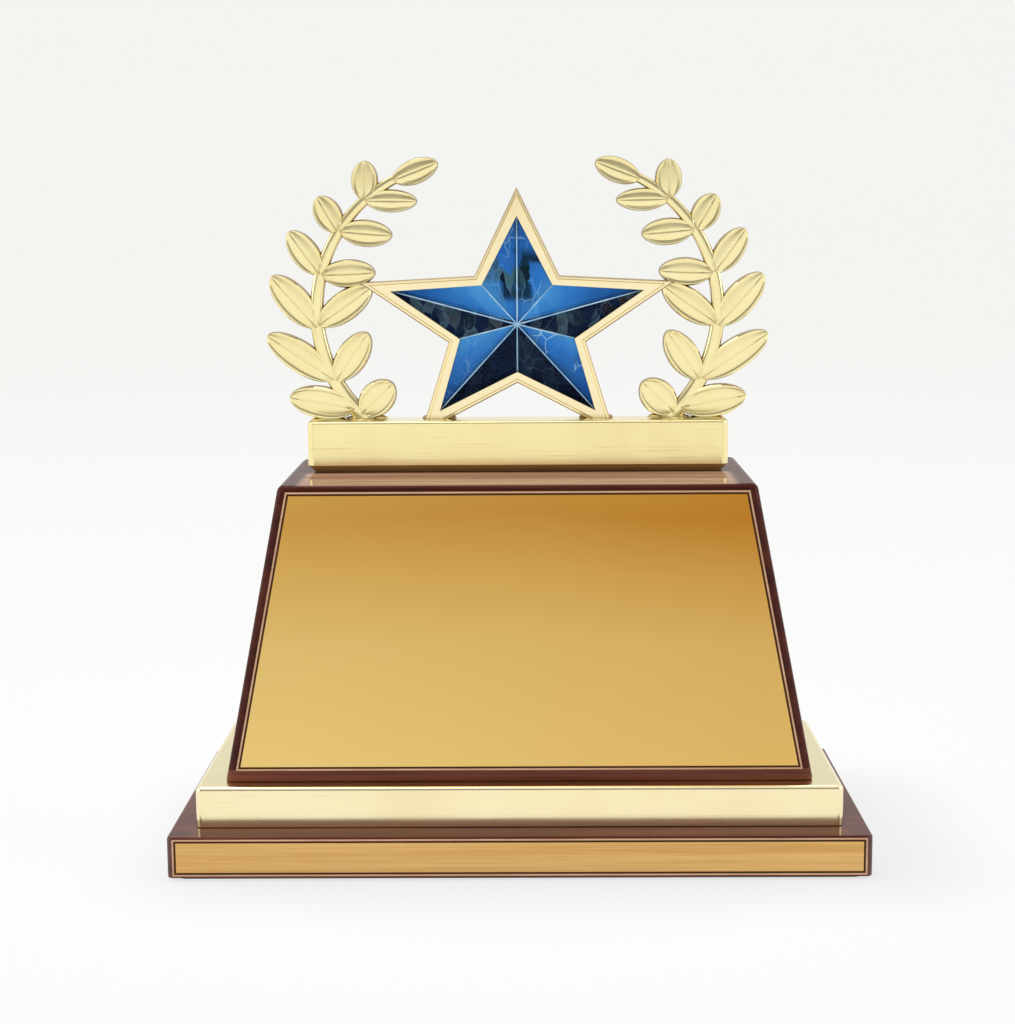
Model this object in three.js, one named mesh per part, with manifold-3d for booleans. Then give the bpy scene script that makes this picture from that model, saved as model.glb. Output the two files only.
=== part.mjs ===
// Star award: a gilt laurel wreath round a blue crystal star, carried by a bar on a
// lacquered wooden block, which stands on a gilt step and a wooden plinth.
// Millimetres, +Z up, the front faces -Y, the origin is under the middle of the plinth.

import * as THREE from 'three';
import { mergeVertices } from 'three/addons/utils/BufferGeometryUtils.js';
import Module from 'manifold-3d';

const wasm = await Module();
wasm.setup();

// ---- Driving dimensions -------------------------------------------------------------

const FELT = { thickness: 0.8, inset: 2, corner: 3 };
const PLINTH = { width: 200, depth: 95, height: 12, edge: 1, corner: 1.8 };
const STEP = { width: 186, depth: 77, height: 12, sheet: 1, edge: 1.4, corner: 2 };
const BLOCK = {
  baseWidth: 170, topWidth: 136, depth: 66, height: 86.4,
  board: 5, bottomBoard: 2.3, edge: 1.6, cornerReach: 4, bottomEdge: 0.6,
};
const GLUE_BLOCK = { width: 11, depth: 12, height: 40 };
const PLAQUE = { sideMargin: 2.6, topMargin: 1.7, bottomMargin: 1.4, thickness: 0.8 };
const STRIP = { sideMargin: 1.5, edgeMargin: 0.6, thickness: 0.5 };   // plate on the plinth's front
const ENGRAVED = { inset: 0.5, width: 0.6, depth: 0.2 };   // border line cut into both plates
const TAPE = { thickness: 0.3, inset: 1.5 };               // adhesive sheet behind a plate

const BAR = { width: 125, depth: 14, height: 15.2, setBack: 3.5, topEdge: 0.8, bottomEdge: 1.8, corner: 2.2 };
const STAR = { rise: 28.2, tipX: 39.2, tipZ: 31.6, notchX: 17.8, notchZ: 14.1 };   // crystal outline
const BEZEL = { tipX: 49.4, tipZ: 40.4, notchX: 21.6, notchZ: 17.6, depth: 6, edge: 1, lip: 2.2 };
const CRYSTAL = { flange: 0.4, girdle: 2, crown: 3.6 };
const FOIL = { thickness: 0.2 };
const BACK_PLATE = { thickness: 1 };

const STEM = { reach: 16.3, rise: 32.1, radius: 43.8, from: -50, to: 63, footWidth: 5, topWidth: 3.1 };
const LAUREL = { thickness: 3.2, behindStar: 2.4 };
const LEAF_BASE = 0.10;                       // where along a leaf its outline stops swelling out from the stem
const LEAF_TIP = 0.86;                        // and where it starts closing to the tip
// Leaves: place on the stem's arc, direction (both in degrees), length, width.
const LEAVES = [
  { at: 62, to: 159, length: 14.5, width: 7.8 },
  { at: 48.5, to: 91, length: 11.8, width: 8.2 },
  { at: 48.5, to: 181, length: 15.8, width: 6.9 },
  { at: 32.5, to: 60, length: 12.2, width: 8.4 },
  { at: 33, to: 185, length: 16, width: 8.2 },
  { at: 14.5, to: 54, length: 16, width: 8.6 },
  { at: 14.5, to: 178, length: 16.4, width: 8.6 },
  { at: -6.5, to: 48.5, length: 20.8, width: 9.7 },
  { at: -5.5, to: 145, length: 20, width: 9.1 },
  { at: -28, to: 34, length: 24.4, width: 9.6 },
  { at: -28.5, to: 124.5, length: 17.6, width: 9.5 },
  { at: -42, to: 10.5, length: 20.4, width: 10.1 },
  { at: -45, to: 136, length: 13.6, width: 10.3 },
];

const STAR_TAB = { from: 20.5, to: 26, thickness: 3.6, length: 3 };
const LAUREL_TAB = { from: 42, to: 52, thickness: 2.2, length: 3 };

const SCREW = { length: 40, shank: 4, head: 8, headHeight: 2.2, point: 4, x: 67 };
const BOLT = { length: 16, shank: 5, head: 8, headHeight: 3.5, x: 32 };
const WASHER = { across: 11, bore: 5.4, thickness: 1 };

// ---- Named clearances ---------------------------------------------------------------

const CORE_GAP = 0.3;       // filler board inside the folded step
const SLOPE_GAP = 0.3;      // glue blocks against the leaning sides
const HOLE_GAP = 0.4;       // radial, round screws and bolts that pass through
const THREAD_GAP = 0.06;    // radial, where a thread bites
const HEAD_RECESS = 0.1;    // screw heads below the plinth's underside
const TAB_GAP = 0.15;       // round the tabs in the bar's slots
const SEAT_GAP = 0.05;      // under castings that are ground flat onto the bar
const SETTING_GAP = 0.12;   // crystal, foil and plate inside the bezel
const SOLDER_GAP = 0.3;     // laurel leaves round the star's side points
const TIP_SPACE = 1;        // empty end of a drilled hole
const CUT = 5;              // how far a cutter runs past what it cuts

const ROUND = 20;           // sides of a turned piece
const CORNER_STEPS = 3;
const EDGE_STEPS = 2;
const CURVE_STEPS = 6;
const STEM_STEPS = 24;
const HEX = 6;
const STAR_SIDES = 10;

// ---- Heights and places worked out from them ----------------------------------------

const plinthBottom = FELT.thickness;
const plinthTop = plinthBottom + PLINTH.height;
const stepTop = plinthTop + STEP.height;
const carcassBottom = stepTop + BLOCK.bottomBoard;
const blockTop = stepTop + BLOCK.height;
const lidBottom = blockTop - BLOCK.board;
const barTop = blockTop + BAR.height;
const starCentre = barTop + STAR.rise;
const plinthFront = -PLINTH.depth / 2;
const blockFront = -BLOCK.depth / 2;
const innerDepth = BLOCK.depth - 2 * BLOCK.board;
const starBack = BAR.setBack + BAR.depth / 2 - TAB_GAP;
const starFront = starBack - BEZEL.depth;
const girdleFront = starFront + BEZEL.lip;
const girdleBack = girdleFront + CRYSTAL.girdle;
const foilBack = girdleBack + FOIL.thickness;
const laurelFront = starFront + LAUREL.behindStar;
const slope = (BLOCK.baseWidth - BLOCK.topWidth) / 2 / BLOCK.height;
const wallAcross = BLOCK.board * Math.hypot(1, slope);     // a leaning board, measured level

const blockHalf = (z) => BLOCK.baseWidth / 2 - slope * (z - stepTop);
const radians = THREE.MathUtils.degToRad;

// ---- Finishes -----------------------------------------------------------------------

const finish = (color, roughness, metalness) => ({ color, roughness, metalness });
const FINISHES = {
  felt: finish(0x1c1a1c, 0.95, 0),
  mahogany: finish(0x45161a, 0.18, 0),
  bareWood: finish(0xa9835a, 0.8, 0),
  fibreboard: finish(0x9a7a58, 0.9, 0),
  paleGold: finish(0xf0dfa4, 0.2, 1),
  satinGold: finish(0xd0a355, 0.35, 1),
  tape: finish(0xd8d4c8, 0.7, 0),
  steel: finish(0xb9bbbd, 0.35, 1),
  crystal: finish(0x0b4fc4, 0.05, 0),
  foil: finish(0x1a3f9e, 0.3, 1),
};

// ---- Geometry helpers ---------------------------------------------------------------

function solid(geometry) {
  const bare = geometry.clone();
  bare.deleteAttribute('normal');
  bare.deleteAttribute('uv');
  const merged = mergeVertices(bare, 1e-4);
  return new wasm.Manifold(new wasm.Mesh({
    numProp: 3,
    vertProperties: new Float32Array(merged.attributes.position.array),
    triVerts: new Uint32Array(merged.index.array),
  }));
}

function geometryOf(manifold) {
  const { vertProperties, triVerts } = manifold.getMesh();
  const geometry = new THREE.BufferGeometry();
  geometry.setAttribute('position', new THREE.BufferAttribute(new Float32Array(vertProperties), 3));
  geometry.setIndex(new THREE.BufferAttribute(new Uint32Array(triVerts), 1));
  return geometry;
}

function block([x0, y0, z0], [x1, y1, z1]) {
  const box = new THREE.BoxGeometry(x1 - x0, y1 - y0, z1 - z0);
  box.translate((x0 + x1) / 2, (y0 + y1) / 2, (z0 + z1) / 2);
  return box;
}

function rectangle(width, depth, corner) {
  const x = width / 2;
  const y = depth / 2;
  const shape = new THREE.Shape();
  shape.moveTo(x - corner, -y);
  shape.absarc(x - corner, corner - y, corner, -Math.PI / 2, 0);
  shape.absarc(x - corner, y - corner, corner, 0, Math.PI / 2);
  shape.absarc(corner - x, y - corner, corner, Math.PI / 2, Math.PI);
  shape.absarc(corner - x, corner - y, corner, Math.PI, Math.PI * 1.5);
  return shape;
}

// A flat piece lying level, with rounded corners and, if edge is given, eased rims.
function slab({ width, depth, corner, bottom, top, edge = 0, edgeSteps = 1 }) {
  const geometry = new THREE.ExtrudeGeometry(rectangle(width, depth, corner), {
    depth: top - bottom - 2 * edge,
    curveSegments: CORNER_STEPS,
    bevelEnabled: edge > 0,
    bevelThickness: edge,
    bevelSize: edge,
    bevelOffset: -edge,
    bevelSegments: edgeSteps,
  });
  return geometry.translate(0, 0, bottom + edge);
}

// A flat piece standing up: its outline is seen from the front, front and back are Y.
function upright(shape, front, back, edge = 0, edgeSteps = 1) {
  const geometry = new THREE.ExtrudeGeometry(shape, {
    depth: back - front - 2 * edge,
    curveSegments: CURVE_STEPS,
    bevelEnabled: edge > 0,
    bevelThickness: edge,
    bevelSize: edge,
    bevelOffset: -edge,
    bevelSegments: edgeSteps,
  });
  return geometry.rotateX(Math.PI / 2).translate(0, back - edge, 0);
}

// Points to the left of each edge move by distance when it is positive, so a
// counter-clockwise outline grows by a negative distance and shrinks by a positive one.
function insetOutline(points, distance) {
  return points.map((point, i) => {
    const before = points[(i + points.length - 1) % points.length];
    const after = points[(i + 1) % points.length];
    const arriving = point.clone().sub(before).normalize();
    const leaving = after.clone().sub(point).normalize();
    const normal = new THREE.Vector2(-arriving.y, arriving.x);
    const bisector = new THREE.Vector2(-arriving.y - leaving.y, arriving.x + leaving.x).normalize();
    return point.clone().addScaledVector(bisector, distance / bisector.dot(normal));
  });
}

// A ring between an outline's inset and a further inset, as a cutter for an engraved line.
function borderLine(points, front) {
  const ring = new THREE.Shape(insetOutline(points, ENGRAVED.inset));
  ring.holes.push(new THREE.Path(insetOutline(points, ENGRAVED.inset + ENGRAVED.width)));
  return upright(ring, front - CUT, front + ENGRAVED.depth);
}

function boxOutline(halfWidth, bottom, top) {
  return trapezoid(halfWidth, halfWidth, bottom, top);
}

function trapezoid(bottomHalf, topHalf, bottom, top) {
  return [[-bottomHalf, bottom], [bottomHalf, bottom], [topHalf, top], [-topHalf, top]]
    .map(([x, z]) => new THREE.Vector2(x, z));
}

// The same outline with each corner rounded by a curve that starts at reach from it.
function roundedShape(points, reach) {
  const shape = new THREE.Shape();
  points.forEach((corner, i) => {
    const before = points[(i + points.length - 1) % points.length];
    const after = points[(i + 1) % points.length];
    const into = corner.clone().addScaledVector(before.clone().sub(corner).normalize(), reach);
    const out = corner.clone().addScaledVector(after.clone().sub(corner).normalize(), reach);
    if (i === 0) {
      shape.moveTo(into.x, into.y);
    } else {
      shape.lineTo(into.x, into.y);
    }
    shape.quadraticCurveTo(corner.x, corner.y, out.x, out.y);
  });
  shape.closePath();
  return shape;
}

// A turned piece standing on bottom, from [radius, height] pairs that start and end on the axis.
function turned(profile, x, y, bottom) {
  const lathe = new THREE.LatheGeometry(profile.map(([r, h]) => new THREE.Vector2(r, h)), ROUND);
  return lathe.rotateX(Math.PI / 2).translate(x, y, bottom);
}

function post(radius, x, y, bottom, top) {
  return turned([[0, 0], [radius, 0], [radius, top - bottom], [0, top - bottom]], x, y, bottom);
}

// Ten corners of a star, from the top point, alternately point and notch.
function starOutline({ tipX, tipZ, notchX, notchZ }) {
  return Array.from({ length: STAR_SIDES }, (_, i) => {
    const angle = (i * 2 * Math.PI) / STAR_SIDES;
    const isTip = i % 2 === 0;
    const x = -Math.sin(angle) * (isTip ? tipX : notchX);
    const z = Math.cos(angle) * (isTip ? tipZ : notchZ);
    return new THREE.Vector2(x, starCentre + z);
  });
}

// A star-shaped solid between two outlines: a ten-sided drum whose rims are moved onto
// them. Without a front outline it runs to a point in the middle.
function starSolid(frontOutline, backOutline, front, back) {
  const drum = new THREE.CylinderGeometry(frontOutline ? 1 : 0, 1, 2, STAR_SIDES);
  drum.rotateZ(Math.PI);
  const position = drum.attributes.position;
  for (let i = 0; i < position.count; i += 1) {
    const outline = position.getY(i) < 0 ? frontOutline : backOutline;
    const y = position.getY(i) < 0 ? front : back;
    const fromAxis = Math.hypot(position.getX(i), position.getZ(i));
    if (fromAxis < 0.5) {
      position.setXYZ(i, 0, y, starCentre);
    } else {
      const turn = Math.atan2(-position.getX(i), position.getZ(i)) / (2 * Math.PI);
      const corner = outline[(Math.round(turn * STAR_SIDES) + STAR_SIDES) % STAR_SIDES];
      position.setXYZ(i, corner.x, y, corner.y);
    }
  }
  return drum;
}

// ---- The assembly -------------------------------------------------------------------

const award = new THREE.Group();

function addPart(name, look, manifoldOrGeometry) {
  const geometry = manifoldOrGeometry.isBufferGeometry ? manifoldOrGeometry : geometryOf(manifoldOrGeometry);
  const mesh = new THREE.Mesh(geometry, new THREE.MeshStandardMaterial(FINISHES[look]));
  mesh.name = name;
  award.add(mesh);
}

const SIDES = [{ name: 'left', sign: -1 }, { name: 'right', sign: 1 }];
const ENDS = [{ name: 'front', sign: -1 }, { name: 'back', sign: 1 }];
const screwY = innerDepth / 2 - GLUE_BLOCK.depth / 2;
const screwPlaces = ENDS.flatMap((end) => SIDES.map((side) => ({
  name: `${end.name}_${side.name}`, x: side.sign * SCREW.x, y: end.sign * screwY,
})));

// Through holes for the base screws, from below one level to above another.
function cutScrewHoles(piece, bottom, top) {
  return screwPlaces.reduce(
    (body, { x, y }) => body.subtract(solid(post(SCREW.shank / 2 + HOLE_GAP, x, y, bottom - CUT, top + CUT))),
    piece,
  );
}

// -- Plinth: felt, board with a shallow rebate in front, and the strip plate in the rebate --

const rebateDepth = STRIP.thickness + TAPE.thickness;
const stripHalf = PLINTH.width / 2 - STRIP.sideMargin;
const stripBottom = plinthBottom + STRIP.edgeMargin;
const stripTop = plinthTop - STRIP.edgeMargin;

function feltPad() {
  return slab({
    width: PLINTH.width - 2 * FELT.inset,
    depth: PLINTH.depth - 2 * FELT.inset,
    corner: FELT.corner,
    bottom: 0,
    top: FELT.thickness,
  });
}

function plinthBoard() {
  let board = solid(slab({ ...PLINTH, bottom: plinthBottom, top: plinthTop, edgeSteps: EDGE_STEPS }));
  const rebate = block(
    [-stripHalf - TAB_GAP, plinthFront - CUT, stripBottom - TAB_GAP],
    [stripHalf + TAB_GAP, plinthFront + rebateDepth, stripTop + TAB_GAP],
  );
  board = board.subtract(solid(rebate));
  board = cutScrewHoles(board, plinthBottom, plinthTop);
  const sink = SCREW.head / 2 + HOLE_GAP;
  const countersink = [[0, -CUT], [sink, -CUT], [sink, HEAD_RECESS], [0, HEAD_RECESS + sink]];
  return screwPlaces.reduce(
    (body, { x, y }) => body.subtract(solid(turned(countersink, x, y, plinthBottom))),
    board,
  );
}

function stripPlate() {
  const outline = boxOutline(stripHalf, stripBottom, stripTop);
  const plate = solid(upright(new THREE.Shape(outline), plinthFront, plinthFront + STRIP.thickness));
  return plate.subtract(solid(borderLine(outline, plinthFront)));
}

function stripTape() {
  const outline = boxOutline(stripHalf - TAPE.inset, stripBottom + TAPE.inset, stripTop - TAPE.inset);
  return upright(new THREE.Shape(outline), plinthFront + STRIP.thickness, plinthFront + rebateDepth);
}

addPart('felt_pad', 'felt', feltPad());
addPart('plinth_board', 'mahogany', plinthBoard());
addPart('plinth_strip_plate', 'satinGold', stripPlate());
addPart('plinth_strip_tape', 'tape', stripTape());

// -- Step: a folded gilt sheet over a filler board --

function stepSheet() {
  const tray = solid(slab({ ...STEP, bottom: plinthTop - STEP.height, top: stepTop }));
  const inside = block(
    [STEP.sheet - STEP.width / 2, STEP.sheet - STEP.depth / 2, plinthTop - STEP.height - CUT],
    [STEP.width / 2 - STEP.sheet, STEP.depth / 2 - STEP.sheet, stepTop - STEP.sheet],
  );
  const below = block(
    [-STEP.width, -STEP.depth, plinthTop - STEP.height - CUT],
    [STEP.width, STEP.depth, plinthTop],
  );
  return cutScrewHoles(tray.subtract(solid(inside)).subtract(solid(below)), plinthTop, stepTop);
}

function stepCore() {
  const x = STEP.width / 2 - STEP.sheet - CORE_GAP;
  const y = STEP.depth / 2 - STEP.sheet - CORE_GAP;
  const top = stepTop - STEP.sheet;
  return cutScrewHoles(solid(block([-x, -y, plinthTop], [x, y, top])), plinthTop, top);
}

addPart('step_cover', 'paleGold', stepSheet());
addPart('step_core', 'fibreboard', stepCore());

// -- Wooden block: six boards, all cut from one eased outer form --

function carcassForm() {
  const outline = trapezoid(blockHalf(carcassBottom), blockHalf(blockTop), carcassBottom, blockTop);
  const shape = roundedShape(outline, BLOCK.cornerReach);
  return solid(upright(shape, blockFront, -blockFront, BLOCK.edge, EDGE_STEPS));
}

const form = carcassForm();

function boardBetween([y0, z0], [y1, z1]) {
  return form.intersect(solid(block([-BLOCK.baseWidth, y0, z0], [BLOCK.baseWidth, y1, z1])));
}

function sideBoard(sign) {
  const inner = trapezoid(
    blockHalf(carcassBottom - CUT) - wallAcross, blockHalf(lidBottom + CUT) - wallAcross,
    carcassBottom - CUT, lidBottom + CUT,
  );
  const room = solid(upright(new THREE.Shape(inner), blockFront, -blockFront));
  const otherHalf = block(
    [Math.min(0, -sign * BLOCK.baseWidth), blockFront - CUT, 0],
    [Math.max(0, -sign * BLOCK.baseWidth), CUT - blockFront, blockTop + CUT],
  );
  return boardBetween([-innerDepth / 2, carcassBottom], [innerDepth / 2, lidBottom])
    .subtract(room)
    .subtract(solid(otherHalf));
}

function bottomBoard() {
  const board = solid(slab({
    width: BLOCK.baseWidth,
    depth: BLOCK.depth,
    corner: BLOCK.edge,
    bottom: stepTop,
    top: carcassBottom,
    edge: BLOCK.bottomEdge,
  }));
  return cutScrewHoles(board, stepTop, carcassBottom);
}

// The lid has clearance holes for the bolts that hold the bar.
function lid() {
  return SIDES.reduce((body, { sign }) => {
    const hole = post(BOLT.shank / 2 + HOLE_GAP, sign * BOLT.x, BAR.setBack, lidBottom - CUT, blockTop + CUT);
    return body.subtract(solid(hole));
  }, boardBetween([2 * blockFront, lidBottom], [-2 * blockFront, blockTop + CUT]));
}

addPart('block_bottom_board', 'mahogany', bottomBoard());
addPart('block_lid', 'mahogany', lid());
ENDS.forEach(({ name, sign }) => {
  const [near, far] = [sign * innerDepth / 2, 2 * sign * BLOCK.depth].sort((a, b) => a - b);
  addPart(`block_${name}_board`, 'mahogany', boardBetween([near, carcassBottom - CUT], [far, lidBottom]));
});
SIDES.forEach(({ name, sign }) => addPart(`block_${name}_board`, 'mahogany', sideBoard(sign)));

// A glue block fills a lower corner of the carcass, its outer face following the lean.
function glueBlock(x, y) {
  const side = Math.sign(x);
  const top = carcassBottom + GLUE_BLOCK.height;
  const outerX = (z) => blockHalf(z) - wallAcross - SLOPE_GAP;
  const innerX = outerX(top) - GLUE_BLOCK.width;
  const outline = [
    [innerX, carcassBottom], [outerX(carcassBottom), carcassBottom], [outerX(top), top], [innerX, top],
  ].map(([across, z]) => new THREE.Vector2(side * across, z));
  const body = upright(new THREE.Shape(outline), y - GLUE_BLOCK.depth / 2, y + GLUE_BLOCK.depth / 2);
  const holeTop = plinthBottom + HEAD_RECESS + SCREW.length + TIP_SPACE;
  return solid(body).subtract(solid(post(SCREW.shank / 2 + THREAD_GAP, x, y, carcassBottom - CUT, holeTop)));
}

function baseScrew(x, y) {
  const { length, shank, head, headHeight, point } = SCREW;
  const profile = [
    [0, 0], [head / 2, 0], [shank / 2, headHeight], [shank / 2, length - point], [0, length],
  ];
  return turned(profile, x, y, plinthBottom + HEAD_RECESS);
}

screwPlaces.forEach(({ name, x, y }) => {
  addPart(`glue_block_${name}`, 'bareWood', glueBlock(x, y));
  addPart(`base_screw_${name}`, 'steel', baseScrew(x, y));
});

// -- Front plaque --

const plaqueBottom = carcassBottom + PLAQUE.bottomMargin;
const plaqueTop = blockTop - PLAQUE.topMargin;
const plaqueOutline = trapezoid(
  blockHalf(plaqueBottom) - PLAQUE.sideMargin, blockHalf(plaqueTop) - PLAQUE.sideMargin,
  plaqueBottom, plaqueTop,
);

function plaque() {
  const front = blockFront - TAPE.thickness - PLAQUE.thickness;
  const plate = solid(upright(new THREE.Shape(plaqueOutline), front, blockFront - TAPE.thickness));
  return plate.subtract(solid(borderLine(plaqueOutline, front)));
}

function plaqueTape() {
  const outline = insetOutline(plaqueOutline, TAPE.inset);
  return upright(new THREE.Shape(outline), blockFront - TAPE.thickness, blockFront);
}

addPart('front_plaque', 'satinGold', plaque());
addPart('plaque_tape', 'tape', plaqueTape());

// -- Ornament bar with slots for the castings above and bolts from below --

function tabBox({ from, to, thickness, length }, sign, middleY, gap) {
  const [x0, x1] = [sign * from, sign * to].sort((a, b) => a - b);
  return block(
    [x0 - gap, middleY - thickness / 2 - gap, barTop - length],
    [x1 + gap, middleY + thickness / 2 + gap, barTop + (gap > 0 ? CUT : TAB_GAP)],
  );
}

const starMiddle = (starFront + starBack) / 2;
const laurelMiddle = laurelFront + LAUREL.thickness / 2;

function ornamentBar() {
  const size = { width: BAR.width, depth: BAR.depth, corner: BAR.corner };
  const upper = solid(slab({ ...size, bottom: blockTop - CUT, top: barTop, edge: BAR.topEdge }));
  const lower = solid(slab({ ...size, bottom: blockTop, top: barTop + CUT, edge: BAR.bottomEdge }));
  const bar = upper.intersect(lower).translate([0, BAR.setBack, 0]);
  const boltTop = lidBottom - WASHER.thickness + BOLT.length;
  return SIDES.reduce((body, { sign }) => body
    .subtract(solid(tabBox(STAR_TAB, sign, starMiddle, TAB_GAP)))
    .subtract(solid(tabBox(LAUREL_TAB, sign, laurelMiddle, TAB_GAP)))
    .subtract(solid(post(
      BOLT.shank / 2 + THREAD_GAP, sign * BOLT.x, BAR.setBack, blockTop - CUT, boltTop + TIP_SPACE,
    ))), bar);
}

function ornamentBolt(x) {
  const headTop = lidBottom - WASHER.thickness;
  const headRadius = BOLT.head / 2 / Math.cos(Math.PI / HEX);
  const head = new THREE.CylinderGeometry(headRadius, headRadius, BOLT.headHeight, HEX);
  head.rotateX(Math.PI / 2).translate(x, BAR.setBack, headTop - BOLT.headHeight / 2);
  const shank = post(BOLT.shank / 2, x, BAR.setBack, headTop - BOLT.headHeight / 2, headTop + BOLT.length);
  return solid(head).add(solid(shank));
}

function washer(x) {
  const bottom = lidBottom - WASHER.thickness;
  const disc = solid(post(WASHER.across / 2, x, BAR.setBack, bottom, lidBottom));
  return disc.subtract(solid(post(WASHER.bore / 2, x, BAR.setBack, bottom - CUT, lidBottom + CUT)));
}

addPart('ornament_bar', 'paleGold', ornamentBar());
SIDES.forEach(({ name, sign }) => {
  addPart(`ornament_bolt_${name}`, 'steel', ornamentBolt(sign * BOLT.x));
  addPart(`ornament_washer_${name}`, 'steel', washer(sign * BOLT.x));
});

// -- Star: bezel, crystal, foil and back plate --

const crystalOutline = starOutline(STAR);
const bezelOutline = starOutline(BEZEL);
const girdleOutline = insetOutline(crystalOutline, -CRYSTAL.flange);
const settingOutline = insetOutline(girdleOutline, -SETTING_GAP);

const belowBar = () => solid(block(
  [-BAR.width, BAR.setBack - 2 * BAR.depth, 0],
  [BAR.width, BAR.setBack + 2 * BAR.depth, barTop + SEAT_GAP],
));

function bezel() {
  const rim = starSolid(insetOutline(bezelOutline, BEZEL.edge), bezelOutline, starFront, starFront + BEZEL.edge);
  const body = starSolid(bezelOutline, bezelOutline, starFront + BEZEL.edge, starBack);
  const opening = insetOutline(crystalOutline, -SETTING_GAP);
  const ring = solid(rim).add(solid(body))
    .subtract(solid(starSolid(opening, opening, starFront - CUT, starBack + CUT)))
    .subtract(solid(starSolid(settingOutline, settingOutline, girdleFront, starBack + CUT)))
    .subtract(belowBar());
  return SIDES.reduce((all, { sign }) => all.add(solid(tabBox(STAR_TAB, sign, starMiddle, 0))), ring);
}

function crystal() {
  const girdle = starSolid(girdleOutline, girdleOutline, girdleFront, girdleBack);
  const crown = starSolid(null, crystalOutline, girdleFront - CRYSTAL.crown, girdleFront + CRYSTAL.girdle / 2);
  return solid(girdle).add(solid(crown));
}

addPart('star_bezel', 'paleGold', bezel());
addPart('star_crystal', 'crystal', crystal());
addPart('star_foil', 'foil', starSolid(girdleOutline, girdleOutline, girdleBack, foilBack));
addPart('star_back_plate', 'paleGold',
  starSolid(girdleOutline, girdleOutline, foilBack, foilBack + BACK_PLATE.thickness));

// -- Laurel branches: an arched stem with leaves, cast in one piece --

const stemPoint = (degrees, radius = STEM.radius) => new THREE.Vector2(
  STEM.reach + radius * Math.cos(radians(degrees)),
  barTop + STEM.rise + radius * Math.sin(radians(degrees)),
);

function stemShape() {
  const edge = (side) => Array.from({ length: STEM_STEPS + 1 }, (_, i) => {
    const along = i / STEM_STEPS;
    const half = THREE.MathUtils.lerp(STEM.footWidth, STEM.topWidth, along) / 2;
    const degrees = THREE.MathUtils.lerp(STEM.from, STEM.to, along);
    return stemPoint(degrees, STEM.radius + side * half);
  });
  return new THREE.Shape([...edge(1), ...edge(-1).reverse()]);
}

function leafShape({ length, width }) {
  const bulge = width / 1.5;                  // puts the curve's widest point at half the width
  const shape = new THREE.Shape();
  shape.moveTo(0, 0);
  shape.bezierCurveTo(length * LEAF_BASE, -bulge, length * LEAF_TIP, -bulge, length, 0);
  shape.bezierCurveTo(length * LEAF_TIP, bulge, length * LEAF_BASE, bulge, 0, 0);
  return shape;
}

function leaf(spec) {
  const base = stemPoint(spec.at);
  const back = laurelFront + LAUREL.thickness;
  const geometry = upright(leafShape(spec), laurelFront, back);
  return geometry.rotateY(-radians(spec.to)).translate(base.x, 0, base.y);
}

function laurelRight() {
  const stem = solid(upright(stemShape(), laurelFront, laurelFront + LAUREL.thickness));
  const around = insetOutline(bezelOutline, -SOLDER_GAP);
  const branch = LEAVES.reduce((all, spec) => all.add(solid(leaf(spec))), stem)
    .subtract(solid(starSolid(around, around, starFront - CUT, starBack + CUT)))
    .subtract(belowBar());
  return branch.add(solid(tabBox(LAUREL_TAB, 1, laurelMiddle, 0)));
}

function mirrored(geometry) {
  const copy = geometry.clone().scale(-1, 1, 1);
  copy.setIndex(Array.from(copy.index.array).reverse());
  return copy;
}

const rightBranch = geometryOf(laurelRight());
addPart('laurel_right', 'paleGold', rightBranch);
addPart('laurel_left', 'paleGold', mirrored(rightBranch));

export default award;
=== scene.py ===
# %% [markdown]
# # A star award, piece by piece
# This award is a stack: a felt pad, a lacquered plinth, a gilt step, a tapered mahogany block with a
# brass plaque, a gilt bar, and on top a crystal star between two cast laurel branches. The measured
# solids come first and stay where they are. Every finer piece below is built around them, in metres, in
# the same places.

# %% Load the measured solids
import math

import bmesh
import bpy
from mathutils import Matrix, Vector


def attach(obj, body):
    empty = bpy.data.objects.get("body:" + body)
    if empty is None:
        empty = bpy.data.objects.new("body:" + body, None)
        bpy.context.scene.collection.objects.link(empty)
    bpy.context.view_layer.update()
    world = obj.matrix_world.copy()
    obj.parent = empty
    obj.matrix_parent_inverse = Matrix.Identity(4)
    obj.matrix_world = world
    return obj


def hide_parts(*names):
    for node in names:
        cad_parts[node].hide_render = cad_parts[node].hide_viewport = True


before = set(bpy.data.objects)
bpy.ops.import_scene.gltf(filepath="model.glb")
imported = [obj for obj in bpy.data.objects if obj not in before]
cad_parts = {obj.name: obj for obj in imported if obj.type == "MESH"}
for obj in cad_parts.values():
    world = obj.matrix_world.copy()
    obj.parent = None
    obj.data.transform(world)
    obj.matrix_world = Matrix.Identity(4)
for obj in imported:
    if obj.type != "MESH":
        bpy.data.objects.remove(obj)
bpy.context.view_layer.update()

# %% [markdown]
# ## The camera
# A long lens flattens a small award, so its upright lines stay nearly parallel. The camera stands a
# little over half a metre away, level with the top arm of the star, and looks down by eight degrees,
# which shows a sliver of each step's top. Turning is written as three plain rotations, so each can be
# changed by itself.

# %% Camera
MM = 0.001


def turn(degrees, axis):
    return Matrix.Rotation(math.radians(degrees), 4, axis)


camera_data = bpy.data.cameras.new("front_camera")
camera_data.sensor_width = 36
camera_data.lens = 70.31
camera_data.clip_start = 0.01
camera = bpy.data.objects.new("front_camera", camera_data)
bpy.context.scene.collection.objects.link(camera)
STAND = Vector((3.44, -593.47, 185.44)) * MM
HEADING, TILT, ROLL = 0.64, 90 - 8.319, -0.371
camera.matrix_world = Matrix.Translation(STAND) @ turn(HEADING, "Z") @ turn(TILT, "X") @ turn(ROLL, "Z")
bpy.context.scene.camera = camera
bpy.context.scene.view_settings.view_transform = "Standard"
print("lens", camera_data.lens, "mm, standing", [round(c, 3) for c in STAND])

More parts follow.
